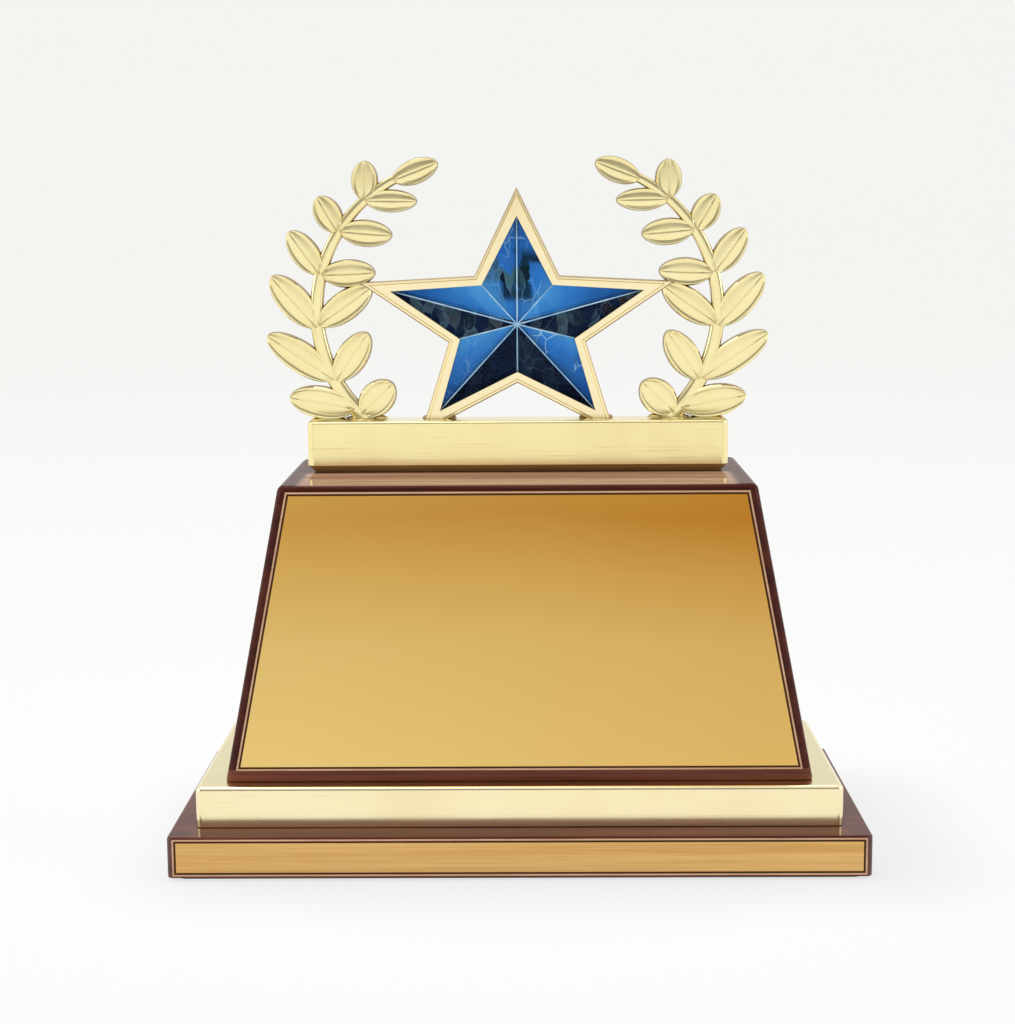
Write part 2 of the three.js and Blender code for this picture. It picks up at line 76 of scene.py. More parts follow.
# %% [markdown]
# ## Wires and finishes
# A material is a network of nodes, and long networks are hard to read as clicks. Here one small class
# holds an output socket and gives it ordinary arithmetic, so `cloud * 0.5 + 0.1` adds the Math nodes by
# itself. A second class holds the material and makes every other kind of node through one method.

# %% Shader helpers
class Wire:
    """One output socket of a finish. Arithmetic on it adds Math nodes."""

    def __init__(self, finish, socket):
        self.finish = finish
        self.socket = socket

    def sum(self, operation, *values):
        return self.finish.node("ShaderNodeMath", {"operation": operation}, dict(enumerate(values)))

    def __add__(self, other):
        return self.sum("ADD", self, other)

    def __sub__(self, other):
        return self.sum("SUBTRACT", self, other)

    def __mul__(self, other):
        return self.sum("MULTIPLY", self, other)

    def __truediv__(self, other):
        return self.sum("DIVIDE", self, other)

    def __pow__(self, other):
        return self.sum("POWER", self, other)

    def __abs__(self):
        return self.sum("ABSOLUTE", self)

    __radd__ = __add__
    __rmul__ = __mul__


class Finish:
    """A material, its shader, and the place on the piece that its patterns are read from."""

    def __init__(self, name, **constants):
        self.material = bpy.data.materials.new(name)
        self.material.use_nodes = True
        self.tree = self.material.node_tree
        self.shader = self.tree.nodes["Principled BSDF"]
        for socket, value in constants.items():
            self.shader.inputs[socket.replace("_", " ")].default_value = value
        self.place = self.node("ShaderNodeTexCoord", out="Object")

    def node(self, kind, settings=None, inputs=None, out=0):
        node = self.tree.nodes.new(kind)
        for name, value in (settings or {}).items():
            if name == "stops":
                fill_ramp(node.color_ramp, value)
            else:
                setattr(node, name, value)
        for socket, value in (inputs or {}).items():
            self.connect(node.inputs[socket], value)
        return Wire(self, node.outputs[out])

    def connect(self, socket, value):
        if isinstance(value, Wire):
            self.tree.links.new(value.socket, socket)
        else:
            socket.default_value = value

    def vary(self, **sockets):
        for name, value in sockets.items():
            self.connect(self.shader.inputs[name.replace("_", " ")], value)

    def stretched(self, along):
        """The place, squeezed or stretched along each axis."""
        return self.node("ShaderNodeVectorMath", {"operation": "MULTIPLY"}, {0: self.place, 1: along})

    def noise(self, along, detail=3, rough=0.55):
        pattern = {"Vector": self.stretched(along), "Scale": 1, "Detail": detail, "Roughness": rough}
        return self.node("ShaderNodeTexNoise", None, pattern)

    def band(self, value, low, high, start=0.0, end=1.0):
        """Runs smoothly from start to end while the value goes from low to high."""
        spread = {0: value, 1: low, 2: high, 3: start, 4: end}
        return self.node("ShaderNodeMapRange", {"interpolation_type": "SMOOTHSTEP"}, spread)

    def past(self, value, edge):
        """How far the value has gone past the edge, and nothing before it."""
        return value.sum("MAXIMUM", value - edge, 0)

    def ramp(self, value, stops):
        return self.node("ShaderNodeValToRGB", {"stops": stops}, {0: value})

    def blend(self, share, first, second):
        return self.node("ShaderNodeMix", {"data_type": "RGBA"}, {0: share, 6: first, 7: second}, out=2)

    def axis(self, name):
        return self.node("ShaderNodeSeparateXYZ", None, {0: self.place}, out=name)

    def painted(self, name):
        """A value stored on the mesh itself, so that it follows the shape."""
        return self.node("ShaderNodeAttribute", {"attribute_name": name}, out="Fac")

    def bump(self, height, depth, strength=1.0):
        relief = {"Strength": strength, "Distance": depth * MM, "Height": height}
        self.vary(Normal=self.node("ShaderNodeBump", None, relief))


def fill_ramp(ramp, stops):
    while len(ramp.elements) < len(stops):
        ramp.elements.new(0.5)
    for element, (position, colour) in zip(ramp.elements, stops):
        element.position = position
        element.color = (*colour, 1)


def rgba(red, green, blue):
    return (red, green, blue, 1)


# %% [markdown]
# ## Pieces from shapes
# Every shape is drawn in millimetres as a bmesh and turned into a piece at the end: scaled to metres,
# given its finishes and the thing it rides with, and the measured solid it stands for is hidden. Soft
# shading with a limit angle keeps flats flat while the rounded edges flow, and weighting the normals by area
# stops the big flats from picking up a false gradient from the narrow bevels next to them.


def piece(name, shape, finishes, slot, *nodes, limit=32):
    bmesh.ops.recalc_face_normals(shape, faces=shape.faces)
    bmesh.ops.scale(shape, vec=(MM, MM, MM), verts=shape.verts)
    for face in shape.faces:
        face.smooth = True
    for edge in shape.edges:
        edge.smooth = len(edge.link_faces) == 2 and edge.calc_face_angle() < math.radians(limit)
    mesh = bpy.data.meshes.new(name)
    shape.to_mesh(mesh)
    open_edges = sum(len(edge.link_faces) != 2 for edge in shape.edges)
    shape.free()
    for finish in finishes:
        mesh.materials.append(finish.material)
    made = bpy.data.objects.new(name, mesh)
    bpy.context.scene.collection.objects.link(made)
    shading = made.modifiers.new("even_shading", "WEIGHTED_NORMAL")
    shading.keep_sharp = True
    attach(made, "root")
    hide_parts(*nodes)
    print(f"{name}: {len(mesh.polygons)} faces, {open_edges} open edges")


def block(shape, low, high):
    corners = bmesh.ops.create_cube(shape, size=1)["verts"]
    low, high = Vector(low), Vector(high)
    bmesh.ops.scale(shape, vec=high - low, verts=corners)
    bmesh.ops.translate(shape, vec=(low + high) / 2, verts=corners)


def soften(shape, edges, by, segments=3, finish=-1):
    bmesh.ops.bevel(
        shape, geom=edges, offset=by, offset_type="OFFSET", segments=segments,
        profile=0.5, affect="EDGES", material=finish, clamp_overlap=True,
    )


def level(shape, z):
    """The edges that lie all the way in one level plane."""
    return [edge for edge in shape.edges if all(abs(corner.co.z - z) < 1e-4 for corner in edge.verts)]


def standing(shape):
    return [edge for edge in shape.edges if abs(edge.verts[0].co.z - edge.verts[1].co.z) > 1]


def front_face(shape):
    """The largest face that looks straight at the camera's side."""
    shape.normal_update()
    return max((face for face in shape.faces if face.normal.y < -0.99), key=lambda face: face.calc_area())


def inset(shape, face, by, sink=0.0):
    made = bmesh.ops.inset_individual(shape, faces=[face], thickness=by, depth=0, use_even_offset=True)
    if sink:
        bmesh.ops.translate(shape, vec=(0, sink, 0), verts=face.verts)
    return made["faces"]


def cut(shape, point, direction):
    """Takes away what lies past a plane, in that direction, and closes the cut."""
    everything = shape.verts[:] + shape.edges[:] + shape.faces[:]
    bmesh.ops.bisect_plane(
        shape, geom=everything, dist=1e-4, plane_co=point, plane_no=direction, clear_outer=True,
    )
    open_edges = [edge for edge in shape.edges if len(edge.link_faces) == 1]
    bmesh.ops.holes_fill(shape, edges=open_edges, sides=0)


# %% [markdown]
# ## The light tent
# Polished metal shows the room, so the room has to be as simple as the real one: a pale table that sweeps
# up into a pale tent. It could be lit by many lamps, but then each lamp would show as a spot in the gold.
# A tent that glows by itself gives even light with no noise. It is a line drawn in profile and spun
# round, like a bowl on a lathe. The table and the cloth behind the lens glow a little more than the wall
# behind the award. Round the foot of the award the table glows less, because a thing that stands on a
# pale table shades it there.

# %% Tent
TENT_PROFILE = ((0, 0), (470, 0), (640, 22), (800, 80), (940, 180), (1040, 310), (1100, 460), (1120, 640),
                (1100, 850), (980, 1080), (760, 1260), (420, 1370), (0, 1400))
FLOOR_LEVEL = -0.05
EYE_LEVEL = 110
# In metres, like the places that the cloth's shader reads.
SHADE_MIDDLE, SHADE_HALF_WIDTH, SHADE_HALF_DEPTH = 0.012, 0.094, 0.040
SHADE_REACH, SHADE_AMOUNT = 0.050, 0.20

tent_shape = bmesh.new()
rim = [tent_shape.verts.new((radius, 0, height + FLOOR_LEVEL)) for radius, height in TENT_PROFILE]
line = [tent_shape.edges.new(pair) for pair in zip(rim, rim[1:])]
bmesh.ops.spin(
    tent_shape, geom=rim + line, cent=(0, 0, 0), axis=(0, 0, 1), angle=math.tau, steps=72, use_merge=True,
)
bmesh.ops.remove_doubles(tent_shape, verts=tent_shape.verts, dist=0.01)
bmesh.ops.recalc_face_normals(tent_shape, faces=tent_shape.faces)
bmesh.ops.reverse_faces(tent_shape, faces=tent_shape.faces)
bmesh.ops.scale(tent_shape, vec=(MM, MM, MM), verts=tent_shape.verts)
for face in tent_shape.faces:
    face.smooth = True
tent_mesh = bpy.data.meshes.new("light_tent")
tent_shape.to_mesh(tent_mesh)
tent_shape.free()
tent = bpy.data.objects.new("light_tent", tent_mesh)
bpy.context.scene.collection.objects.link(tent)

cloth = Finish("tent_cloth", Roughness=0.9, Specular_IOR_Level=0.0)
above_eye = cloth.axis("Z") - EYE_LEVEL * MM
distance = cloth.node("ShaderNodeVectorMath", {"operation": "LENGTH"}, {0: cloth.place}, out="Value")
slope = above_eye / distance
glow = cloth.ramp(slope * 0.5 + 0.5, (
    (0.00, (0.820, 0.820, 0.820)), (0.43, (0.780, 0.780, 0.775)), (0.50, (0.735, 0.735, 0.715)),
    (0.66, (0.745, 0.745, 0.725)), (1.00, (0.850, 0.850, 0.850)),
))
towards_lens = cloth.band(cloth.axis("Y"), -0.85, -0.45, 1.0, 0.0)
lit = cloth.blend(towards_lens, glow, rgba(0.86, 0.86, 0.86))
beside = cloth.past(abs(cloth.axis("X") - SHADE_MIDDLE), SHADE_HALF_WIDTH)
behind = cloth.past(abs(cloth.axis("Y")), SHADE_HALF_DEPTH)
away = (beside * beside + behind * behind) ** 0.5
on_table = cloth.band(cloth.axis("Z"), 0.001, 0.003, 1.0, 0.0)
contact = cloth.band(away, 0.0, SHADE_REACH, SHADE_AMOUNT, 0.0) * on_table
shaded = cloth.blend(contact, lit, rgba(0.40, 0.39, 0.38))
cloth.vary(Base_Color=rgba(0.15, 0.15, 0.15), Emission_Color=shaded)
cloth.shader.inputs["Emission Strength"].default_value = 1
tent_mesh.materials.append(cloth.material)

world = bpy.data.worlds.new("room")
world.use_nodes = True
world.node_tree.nodes["Background"].inputs["Color"].default_value = rgba(0.9, 0.9, 0.9)
bpy.context.scene.world = world

# %% [markdown]
# ## Cards, dark and bright
# In an even tent gold looks like plain paint, because an edge reflects the same white as a flat.
# Photographers stand cards round a shiny thing: dark ones in front, above and beside the lens, so that
# every rounded edge gets a dark line, and bright strips far out at the sides, so that dark lacquer gets a
# light one. Each card is a line spun part of the way round the award. The cards don't show to the camera,
# only in reflections.

# %% Cards
def card(name, first, last, low, high, radius, tone):
    """A curved card. First and last are turns from straight ahead, low and high are heights, in degrees."""
    shape = bmesh.new()
    steps = 8
    lift = [math.radians(low + (high - low) * step / steps) for step in range(steps + 1)]
    line = [shape.verts.new((0, -radius * math.cos(rise), radius * math.sin(rise))) for rise in lift]
    edges = [shape.edges.new(pair) for pair in zip(line, line[1:])]
    bmesh.ops.rotate(shape, cent=(0, 0, 0), matrix=Matrix.Rotation(math.radians(first), 3, "Z"), verts=line)
    bmesh.ops.spin(
        shape, geom=line + edges, cent=(0, 0, 0), axis=(0, 0, 1), angle=math.radians(last - first), steps=12,
        use_merge=False,
    )
    bmesh.ops.scale(shape, vec=(MM, MM, MM), verts=shape.verts)
    mesh = bpy.data.meshes.new(name)
    shape.to_mesh(mesh)
    shape.free()
    finish = Finish(name, Roughness=0.9, Specular_IOR_Level=0.0)
    mottle = finish.noise((6, 6, 6), detail=1)
    darker = tone * 0.9
    finish.vary(
        Base_Color=rgba(0.05, 0.05, 0.05),
        Emission_Color=finish.blend(mottle, rgba(darker, darker, darker), rgba(tone, tone, tone)),
    )
    finish.shader.inputs["Emission Strength"].default_value = 1
    mesh.materials.append(finish.material)
    made = bpy.data.objects.new(name, mesh)
    bpy.context.scene.collection.objects.link(made)
    made.visible_camera = False
    print(name, "tone", tone)


card("dark_card_above_lens", first=-50, last=50, low=16.5, high=50, radius=860, tone=0.30)
card("dark_card_left", first=-46, last=-30, low=-6, high=20, radius=840, tone=0.30)
card("dark_card_right", first=30, last=46, low=-6, high=20, radius=840, tone=0.30)
card("bright_strip_left", first=-98, last=-62, low=-4, high=34, radius=880, tone=3.0)
card("bright_strip_right", first=62, last=98, low=-4, high=34, radius=880, tone=3.0)

# %% [markdown]
# One softbox overhead brightens everything that faces up, which brings out the red in the wood.

# %% Lamp
def softbox(name, stand, aim, width, depth, watts):
    data = bpy.data.lights.new(name, "AREA")
    data.shape = "RECTANGLE"
    data.size = width
    data.size_y = depth
    data.energy = watts
    lamp = bpy.data.objects.new(name, data)
    bpy.context.scene.collection.objects.link(lamp)
    lamp.location = stand
    lamp.rotation_mode = "QUATERNION"
    lamp.rotation_quaternion = (Vector(aim) - Vector(stand)).to_track_quat("-Z", "Y")
    print(name, "at", stand, watts, "watts")


softbox("overhead_softbox", (-0.15, 0.1, 1.0), aim=(0, 0, 0.1), width=0.8, depth=0.6, watts=3.0)

# %% [markdown]
# ## Lacquered mahogany
# The wood is stained so dark that its grain shows only as slightly redder streaks, and it lies under a
# thick clear lacquer. Two layers of one shader do that: the stained wood below is fairly rough, and the
# coat above it is glass smooth. The streaks are noise, drawn out along the board, and they stand upright
# on the leaning sides. Close to polished metal the wood also catches warm light, so three finishes are
# warmed between two heights: the plinth under the step, the lid under the bar, and the foot of the block
# above the step.

# %% Mahogany
STAIN = ((0.25, (0.055, 0.0120, 0.0085)), (0.50, (0.100, 0.0215, 0.0130)), (0.75, (0.160, 0.0380, 0.0190)))


def mahogany(name, along, coat, depth, coat_bend=1.25):
    """Stained wood under lacquer. Depth is how light the stain is, and coat how fresh the lacquer."""
    finish = Finish(name, Roughness=0.42, Coat_Weight=coat, Coat_Roughness=0.045, Coat_IOR=coat_bend,
                    Specular_IOR_Level=0.0)
    figure = finish.noise([220 if share == 0 else 14 for share in along], detail=4)
    pores = finish.noise([2600 if share == 0 else 90 for share in along], detail=2, rough=0.7)
    dark_pores = finish.band(pores, 0.60, 0.72)
    stain = finish.ramp(figure, [(stop, [depth * part for part in colour]) for stop, colour in STAIN])
    finish.vary(
        Base_Color=finish.blend(dark_pores * 0.6, stain, rgba(0.020, 0.006, 0.005)),
        Roughness=0.36 + figure * 0.14,
    )
    finish.bump(finish.noise((60, 60, 60), detail=1), depth=0.02, strength=0.35)
    return finish


def warm(finish, low, high, half, start, colour, amount):
    """Warms the wood where polished metal throws its light: between two heights and in front of a line."""
    height, sideways = finish.axis("Z") / MM, abs(finish.axis("X")) / MM
    inside = finish.band(height, low, low + 0.3) * finish.band(height, high, high + 0.4, 1.0, 0.0)
    inside = inside * finish.band(sideways, half - 1.5, half + 1.5, 1.0, 0.0)
    inside = inside * finish.band(finish.axis("Y") / MM, start - 4, start, 1.0, 0.0)
    streaks = finish.noise((16, 330, 330), detail=3)
    wood = Wire(finish, finish.shader.inputs["Base Color"].links[0].from_socket)
    finish.vary(Base_Color=finish.blend(inside * streaks * amount, wood, rgba(*colour)))


plinth_wood = mahogany("plinth_mahogany", (1, 0, 0), coat=0.85, depth=1.0)
plinth_corner = mahogany("plinth_corner_mahogany", (1, 0, 0), coat=1.0, depth=0.9, coat_bend=1.6)
lid_wood = mahogany("lid_mahogany", (1, 0, 0), coat=0.47, depth=0.72)
front_wood = mahogany("front_mahogany", (1, 0, 0), coat=0.75, depth=0.68)
upright_wood = mahogany("upright_mahogany", (0, 0, 1), coat=0.75, depth=0.68)
warm(plinth_wood, low=12.5, high=14, half=94, start=-37, colour=(0.36, 0.115, 0.040), amount=0.30)
warm(lid_wood, low=110.9, high=113, half=62.5, start=-2.5, colour=(0.74, 0.450, 0.280), amount=1.0)
warm(front_wood, low=24, high=28.3, half=90, start=-28, colour=(0.32, 0.100, 0.060), amount=0.95)
print("mahogany in five finishes")

# %% [markdown]
# ## Pale gilt
# The bar, the step, the bezel and the laurels are gilt plated: a pale, slightly green gold. Real plating
# is never even. It carries faint cloudy patches, fine polishing lines, and a deeper tone where a cloth
# doesn't reach. Metallic stays at one, and colour and roughness both drift a little with the same lines.
# Two finishes are different: cast walls keep brown file marks and are painted darker, partly as painted
# shade that outlines each edge, and the bar's lower bevel carries a painted reflection of the dark wood, so
# that bevel is brown and only partly metallic.

# %% Gilt sheet, bar and bezel
GILT_DEEP = rgba(0.800, 0.600, 0.250)
STEP_TOP_DEEP = rgba(0.74, 0.58, 0.30)
BAR_DEEP = rgba(0.70, 0.48, 0.20)
BAR_LINES = (35, 500, 1500)
PAINTED_WOOD_REFLECTION_TONES = ((0.3, (0.56, 0.32, 0.095)), (0.7, (0.76, 0.48, 0.17)))
CAST_WALL_SHADE_TONES = ((0.3, (0.30, 0.22, 0.11)), (0.7, (0.48, 0.36, 0.19)))


def gilt(name, light, deep, lines, roughness, worn=0.35):
    finish = Finish(name, Metallic=1.0)
    cloud = finish.noise((45, 45, 45), detail=2)
    polish = finish.noise(lines, detail=3, rough=0.65)
    scratch = finish.band(polish, 0.60, 0.74)
    share = finish.band(cloud, 0.35, 0.75) * worn * 0.5 + scratch * worn
    finish.vary(
        Base_Color=finish.blend(share, light, deep),
        Roughness=roughness + polish * 0.10 + cloud * 0.05,
    )
    finish.bump(polish, depth=0.01, strength=0.3)
    return finish


step_gilt = gilt("step_gilt", rgba(0.975, 0.865, 0.545), GILT_DEEP, (30, 30, 2400), 0.10)
step_top_gilt = gilt("step_top_gilt", rgba(0.850, 0.755, 0.450), STEP_TOP_DEEP, (30, 2400, 30), 0.16)
bar_gilt = gilt("bar_gilt", rgba(0.970, 0.840, 0.430), BAR_DEEP, BAR_LINES, 0.09, worn=0.4)
bezel_gilt = gilt("bezel_gilt", rgba(0.975, 0.850, 0.530), GILT_DEEP, (260, 260, 260), 0.07, worn=0.2)
print("gilt finishes:", step_gilt.material.name, bar_gilt.material.name, bezel_gilt.material.name)

# %% Painted reflection on the bar's bevel, and cast walls with painted shade
# The lower bevel faces down at the dark lid, so its streaked brown colour is a painted reflection of the
# wood; it is only partly metallic.
bar_bevel_painted_reflection = Finish("bar_bevel_painted_reflection", Metallic=0.3)
reflection_streaks = bar_bevel_painted_reflection.noise(BAR_LINES, detail=3, rough=0.65)
bar_bevel_painted_reflection.vary(
    Base_Color=bar_bevel_painted_reflection.ramp(reflection_streaks, PAINTED_WOOD_REFLECTION_TONES),
    Roughness=0.35 + reflection_streaks * 0.2,
)
# Cast walls keep brown file marks, and their darker tone is partly painted shade, so each wall draws a dark
# outline round the gilt faces.
cast_wall_painted_shade = Finish("cast_wall_painted_shade", Metallic=1.0)
file_marks = cast_wall_painted_shade.noise((500, 1800, 500), detail=3, rough=0.7)
cast_wall_painted_shade.vary(
    Base_Color=cast_wall_painted_shade.ramp(file_marks, CAST_WALL_SHADE_TONES),
    Roughness=0.30 + file_marks * 0.2,
)
cast_wall_painted_shade.bump(file_marks, depth=0.03, strength=0.4)
print("brown finishes:", bar_bevel_painted_reflection.material.name, cast_wall_painted_shade.material.name)

# %% [markdown]
# ## The felt pad
# Under the plinth is a thin pad of dark wool felt, so that the award doesn't scratch a shelf. It is a
# soft sheet, so its corners are round and its edge is slightly pillowed. The fibres are far too fine for
# geometry: noise at two scales gives the matted look, and sheen gives the pale fuzz at a glancing angle.

# %% Felt pad
felt = Finish("wool_felt", Roughness=0.95, Sheen_Weight=0.35, Sheen_Roughness=0.5, Specular_IOR_Level=0.1)
matted = felt.noise((900, 900, 900), detail=4, rough=0.7)
lint = felt.noise((3200, 3200, 3200), detail=2, rough=0.8)
felt.vary(
    Base_Color=felt.ramp(matted, ((0.3, (0.006, 0.006, 0.007)), (0.7, (0.024, 0.022, 0.026)))),
    Roughness=0.86 + lint * 0.12,
)
felt.bump(matted * 0.6 + lint * 0.4, depth=0.12)

PLINTH_WIDTH, PLINTH_DEPTH, PLINTH_BOTTOM, PLINTH_TOP = 200, 95, 0.8, 12.8
FELT_INSET, FELT_CORNER, FELT_PILLOW = 2, 3, 0.25
FELT_TOP = PLINTH_BOTTOM - 0.02
pad_shape = bmesh.new()
pad_x, pad_y = PLINTH_WIDTH / 2 - FELT_INSET, PLINTH_DEPTH / 2 - FELT_INSET
block(pad_shape, (-pad_x, -pad_y, 0), (pad_x, pad_y, FELT_TOP))
uprights = [edge for edge in pad_shape.edges if abs(edge.verts[0].co.z - edge.verts[1].co.z) > 0.1]
soften(pad_shape, uprights, FELT_CORNER, segments=6)
soften(pad_shape, level(pad_shape, 0) + level(pad_shape, FELT_TOP), FELT_PILLOW, segments=2)
piece("felt_pad_fine", pad_shape, [felt], "felt", "felt_pad")

# %% [markdown]
# ## The plinth board
# The plinth is one wide lacquered board. Its corners are sanded round and its edges eased before the
# lacquer goes on, because lacquer runs thin on a sharp edge. The front has a shallow rebate for the brass
# strip. A cube with two rounds of bevels makes the board, and an inset and a push make the rebate.

# %% Plinth board
def slab(shape, width, depth, bottom, top, corner, top_edge, bottom_edge, middle=0, corner_finish=-1,
         foot_steps=4, foot_finish=-1):
    """A board with round corners and eased edges. Middle is how far back its middle lies."""
    block(shape, (-width / 2, middle - depth / 2, bottom), (width / 2, middle + depth / 2, top))
    soften(shape, standing(shape), corner, segments=6, finish=corner_finish)
    soften(shape, level(shape, top), top_edge, segments=4)
    soften(shape, level(shape, bottom), bottom_edge, segments=foot_steps, finish=foot_finish)


STRIP_LOW, STRIP_HIGH, STRIP_HALF, REBATE = 1.4, 12.2, 98.5, 0.8
board_shape = bmesh.new()
slab(
    board_shape, PLINTH_WIDTH, PLINTH_DEPTH, PLINTH_BOTTOM, PLINTH_TOP,
    corner=1.4, top_edge=0.55, bottom_edge=0.55, corner_finish=1,
)
rebate = front_face(board_shape)
inset(board_shape, rebate, 0.06)
inset(board_shape, rebate, 0.01, sink=REBATE)
piece("plinth_board_fine", board_shape, [plinth_wood, plinth_corner], "mahogany", "plinth_board")

# %% [markdown]
# ## The brass strip on the plinth
# A satin brass strip fills the rebate. It is brushed along its length, which leaves streaks of lighter
# and deeper metal, and a thin line is engraved just inside its edge and filled with dark paint. The line
# is made by insetting the front face four times: margin, wall going down, floor, and wall coming up
# again.

# %% Brass strip
def satin(name, light, deep, lines, roughness):
    finish = Finish(name, Metallic=1.0)
    brush = finish.noise(lines, detail=4, rough=0.7)
    broad = finish.noise([count / 6 for count in lines], detail=2)
    mixed = finish.band(brush * 0.55 + broad * 0.45, 0.34, 0.66)
    finish.vary(Base_Color=finish.blend(mixed, deep, light), Roughness=roughness + brush * 0.12)
    finish.bump(brush, depth=0.02, strength=0.4)
    return finish


strip_brass = satin("strip_brass", rgba(0.78, 0.49, 0.185), rgba(0.60, 0.33, 0.100), (28, 400, 2600), 0.28)
line_paint = Finish("engraved_line_paint", Roughness=0.6, Specular_IOR_Level=0.1)
flecks = line_paint.noise((1500, 1500, 1500))
line_paint.vary(
    Base_Color=line_paint.ramp(flecks, ((0.3, (0.060, 0.021, 0.008)), (0.7, (0.115, 0.044, 0.014)))),
    Roughness=0.5 + flecks * 0.2,
)
margin_brass = satin("margin_brass", rgba(0.70, 0.44, 0.28), rgba(0.50, 0.28, 0.17), (60, 60, 900), 0.22)
ENGRAVED_MARGIN, ENGRAVED_WIDTH, ENGRAVED_DEPTH, ENGRAVED_WALL = 0.5, 0.6, 0.2, 0.08


def engrave(shape):
    """Cuts a painted line round the front face, a little inside its edge."""
    field = front_face(shape)
    for side in inset(shape, field, ENGRAVED_MARGIN):
        side.material_index = 2
    walls = inset(shape, field, ENGRAVED_WALL, sink=ENGRAVED_DEPTH)
    floor = inset(shape, field, ENGRAVED_WIDTH - 2 * ENGRAVED_WALL)
    walls += inset(shape, field, ENGRAVED_WALL, sink=-ENGRAVED_DEPTH)
    for side in walls + floor:
        side.material_index = 1


TAPE, STRIP_THICKNESS = 0.3, 0.5
strip_front = -PLINTH_DEPTH / 2
strip_shape = bmesh.new()
strip_back = strip_front + STRIP_THICKNESS
block(strip_shape, (-STRIP_HALF, strip_front, STRIP_LOW), (STRIP_HALF, strip_back, STRIP_HIGH))
engrave(strip_shape)
strip_finishes = [strip_brass, line_paint, margin_brass]
piece("plinth_strip_fine", strip_shape, strip_finishes, "satin_gold", "plinth_strip_plate")

# %% [markdown]
# ## The gilt step
# The step is a sheet metal cover over a fibreboard core. Folded sheet has a soft round edge and mitred
# corners, and its polished front shows the plinth below it as a dark line near the foot. That line isn't
# painted: it comes from the reflection. The top has a finish of its own, darker and rougher than the front.

# %% Step cover
STEP_WIDTH, STEP_DEPTH, STEP_TOP = 186, 77, 24.8
step_shape = bmesh.new()
slab(
    step_shape, STEP_WIDTH, STEP_DEPTH, PLINTH_TOP, STEP_TOP, corner=2, top_edge=1.4, bottom_edge=0.3,
)
step_shape.normal_update()
for face in step_shape.faces:
    if face.normal.z > 0.99:
        face.material_index = 1
piece("step_cover_fine", step_shape, [step_gilt, step_top_gilt], "pale_gold", "step_cover")

# %% [markdown]
# ## The tapered block
# The block is a box of six lacquered boards with mitred looking seams. Making six boards and lining up
# their rounded edges is slow. It is quicker to shape the whole block once, round its edges, and then saw
# copies of it into boards with planes, so every seam lines up by itself.

# %% Block boards
BLOCK_LOW, BLOCK_HIGH, BLOCK_DEPTH = 24.8, 111.2, 66
BASE_WIDTH, TOP_WIDTH, BOARD, BOTTOM_BOARD, SEAM = 170, 136, 5, 2.3, 0.04
LEAN = (BASE_WIDTH - TOP_WIDTH) / 2 / (BLOCK_HIGH - BLOCK_LOW)
SIDE_LOOK = Vector((1, 0, LEAN)).normalized()

form = bmesh.new()
block(form, (-BASE_WIDTH / 2, -BLOCK_DEPTH / 2, BLOCK_LOW), (BASE_WIDTH / 2, BLOCK_DEPTH / 2, BLOCK_HIGH))
upper = [corner for corner in form.verts if corner.co.z > BLOCK_LOW + 1]
bmesh.ops.scale(form, vec=(TOP_WIDTH / BASE_WIDTH, 1, 1), verts=upper)
soften(form, standing(form), 2.0, segments=5)
soften(form, level(form, BLOCK_HIGH), 1.6, segments=5)
soften(form, level(form, BLOCK_LOW), 0.6, segments=3)

up, down = Vector((0, 0, 1)), Vector((0, 0, -1))
forward, backward = Vector((0, -1, 0)), Vector((0, 1, 0))
lid_seam, bottom_seam = BLOCK_HIGH - BOARD, BLOCK_LOW + BOTTOM_BOARD
wall_seam = BLOCK_DEPTH / 2 - BOARD


def side_plane(sign, depth):
    """A plane that leans with the side of the block, some way in from its surface."""
    surface = Vector((sign * BASE_WIDTH / 2, 0, BLOCK_LOW))
    look = Vector((sign * SIDE_LOOK.x, 0, SIDE_LOOK.z))
    return surface - look * depth, look


def board(name, planes, finish, node):
    shape = form.copy()
    for point, direction in planes:
        cut(shape, point, direction)
    piece(name, shape, [finish], "mahogany", node)


between = [(up * (lid_seam - SEAM), up), (up * (bottom_seam + SEAM), down)]
board("block_lid_fine", [(up * (lid_seam + SEAM), down)], lid_wood, "block_lid")
board("block_bottom_fine", [(up * (bottom_seam - SEAM), up)], front_wood, "block_bottom_board")
front_planes = between + [(forward * (wall_seam + SEAM), backward)]
back_planes = between + [(backward * (wall_seam + SEAM), forward)]
board("block_front_fine", front_planes, front_wood, "block_front_board")
board("block_back_fine", back_planes, front_wood, "block_back_board")
for side, sign in (("left", -1), ("right", 1)):
    point, look = side_plane(sign, BOARD)
    front_wall = (forward * (wall_seam - SEAM), forward)
    back_wall = (backward * (wall_seam - SEAM), backward)
    planes = between + [front_wall, back_wall, (point, -look)]
    board(f"block_{side}_fine", planes, upright_wood, f"block_{side}_board")
form.free()

# %% [markdown]
# ## The plaque
# The plaque is a thin satin brass plate, a trapezium like the block's front, with the same engraved line
# as the strip. Its colour holds painted shading: deeper and warmer towards the top and towards the right,
# standing in for darker reflections there. Its satin grain is so fine that it only shows as a soft
# roughness.

# %% Plaque
PLAQUE_LOW, PLAQUE_HIGH, PLAQUE_THICKNESS = 28.5, 109.5, 0.8
PLAQUE_LOW_HALF, PLAQUE_HIGH_HALF = 81.67, 65.70
plaque_brass = Finish("plaque_brass", Metallic=1.0)
height = plaque_brass.axis("Z") / MM
drift = plaque_brass.noise((12, 12, 12), detail=1)
satin_grain = plaque_brass.noise((300, 300, 5200), detail=3, rough=0.7)
sideways = plaque_brass.axis("X") / (PLAQUE_LOW_HALF * MM)
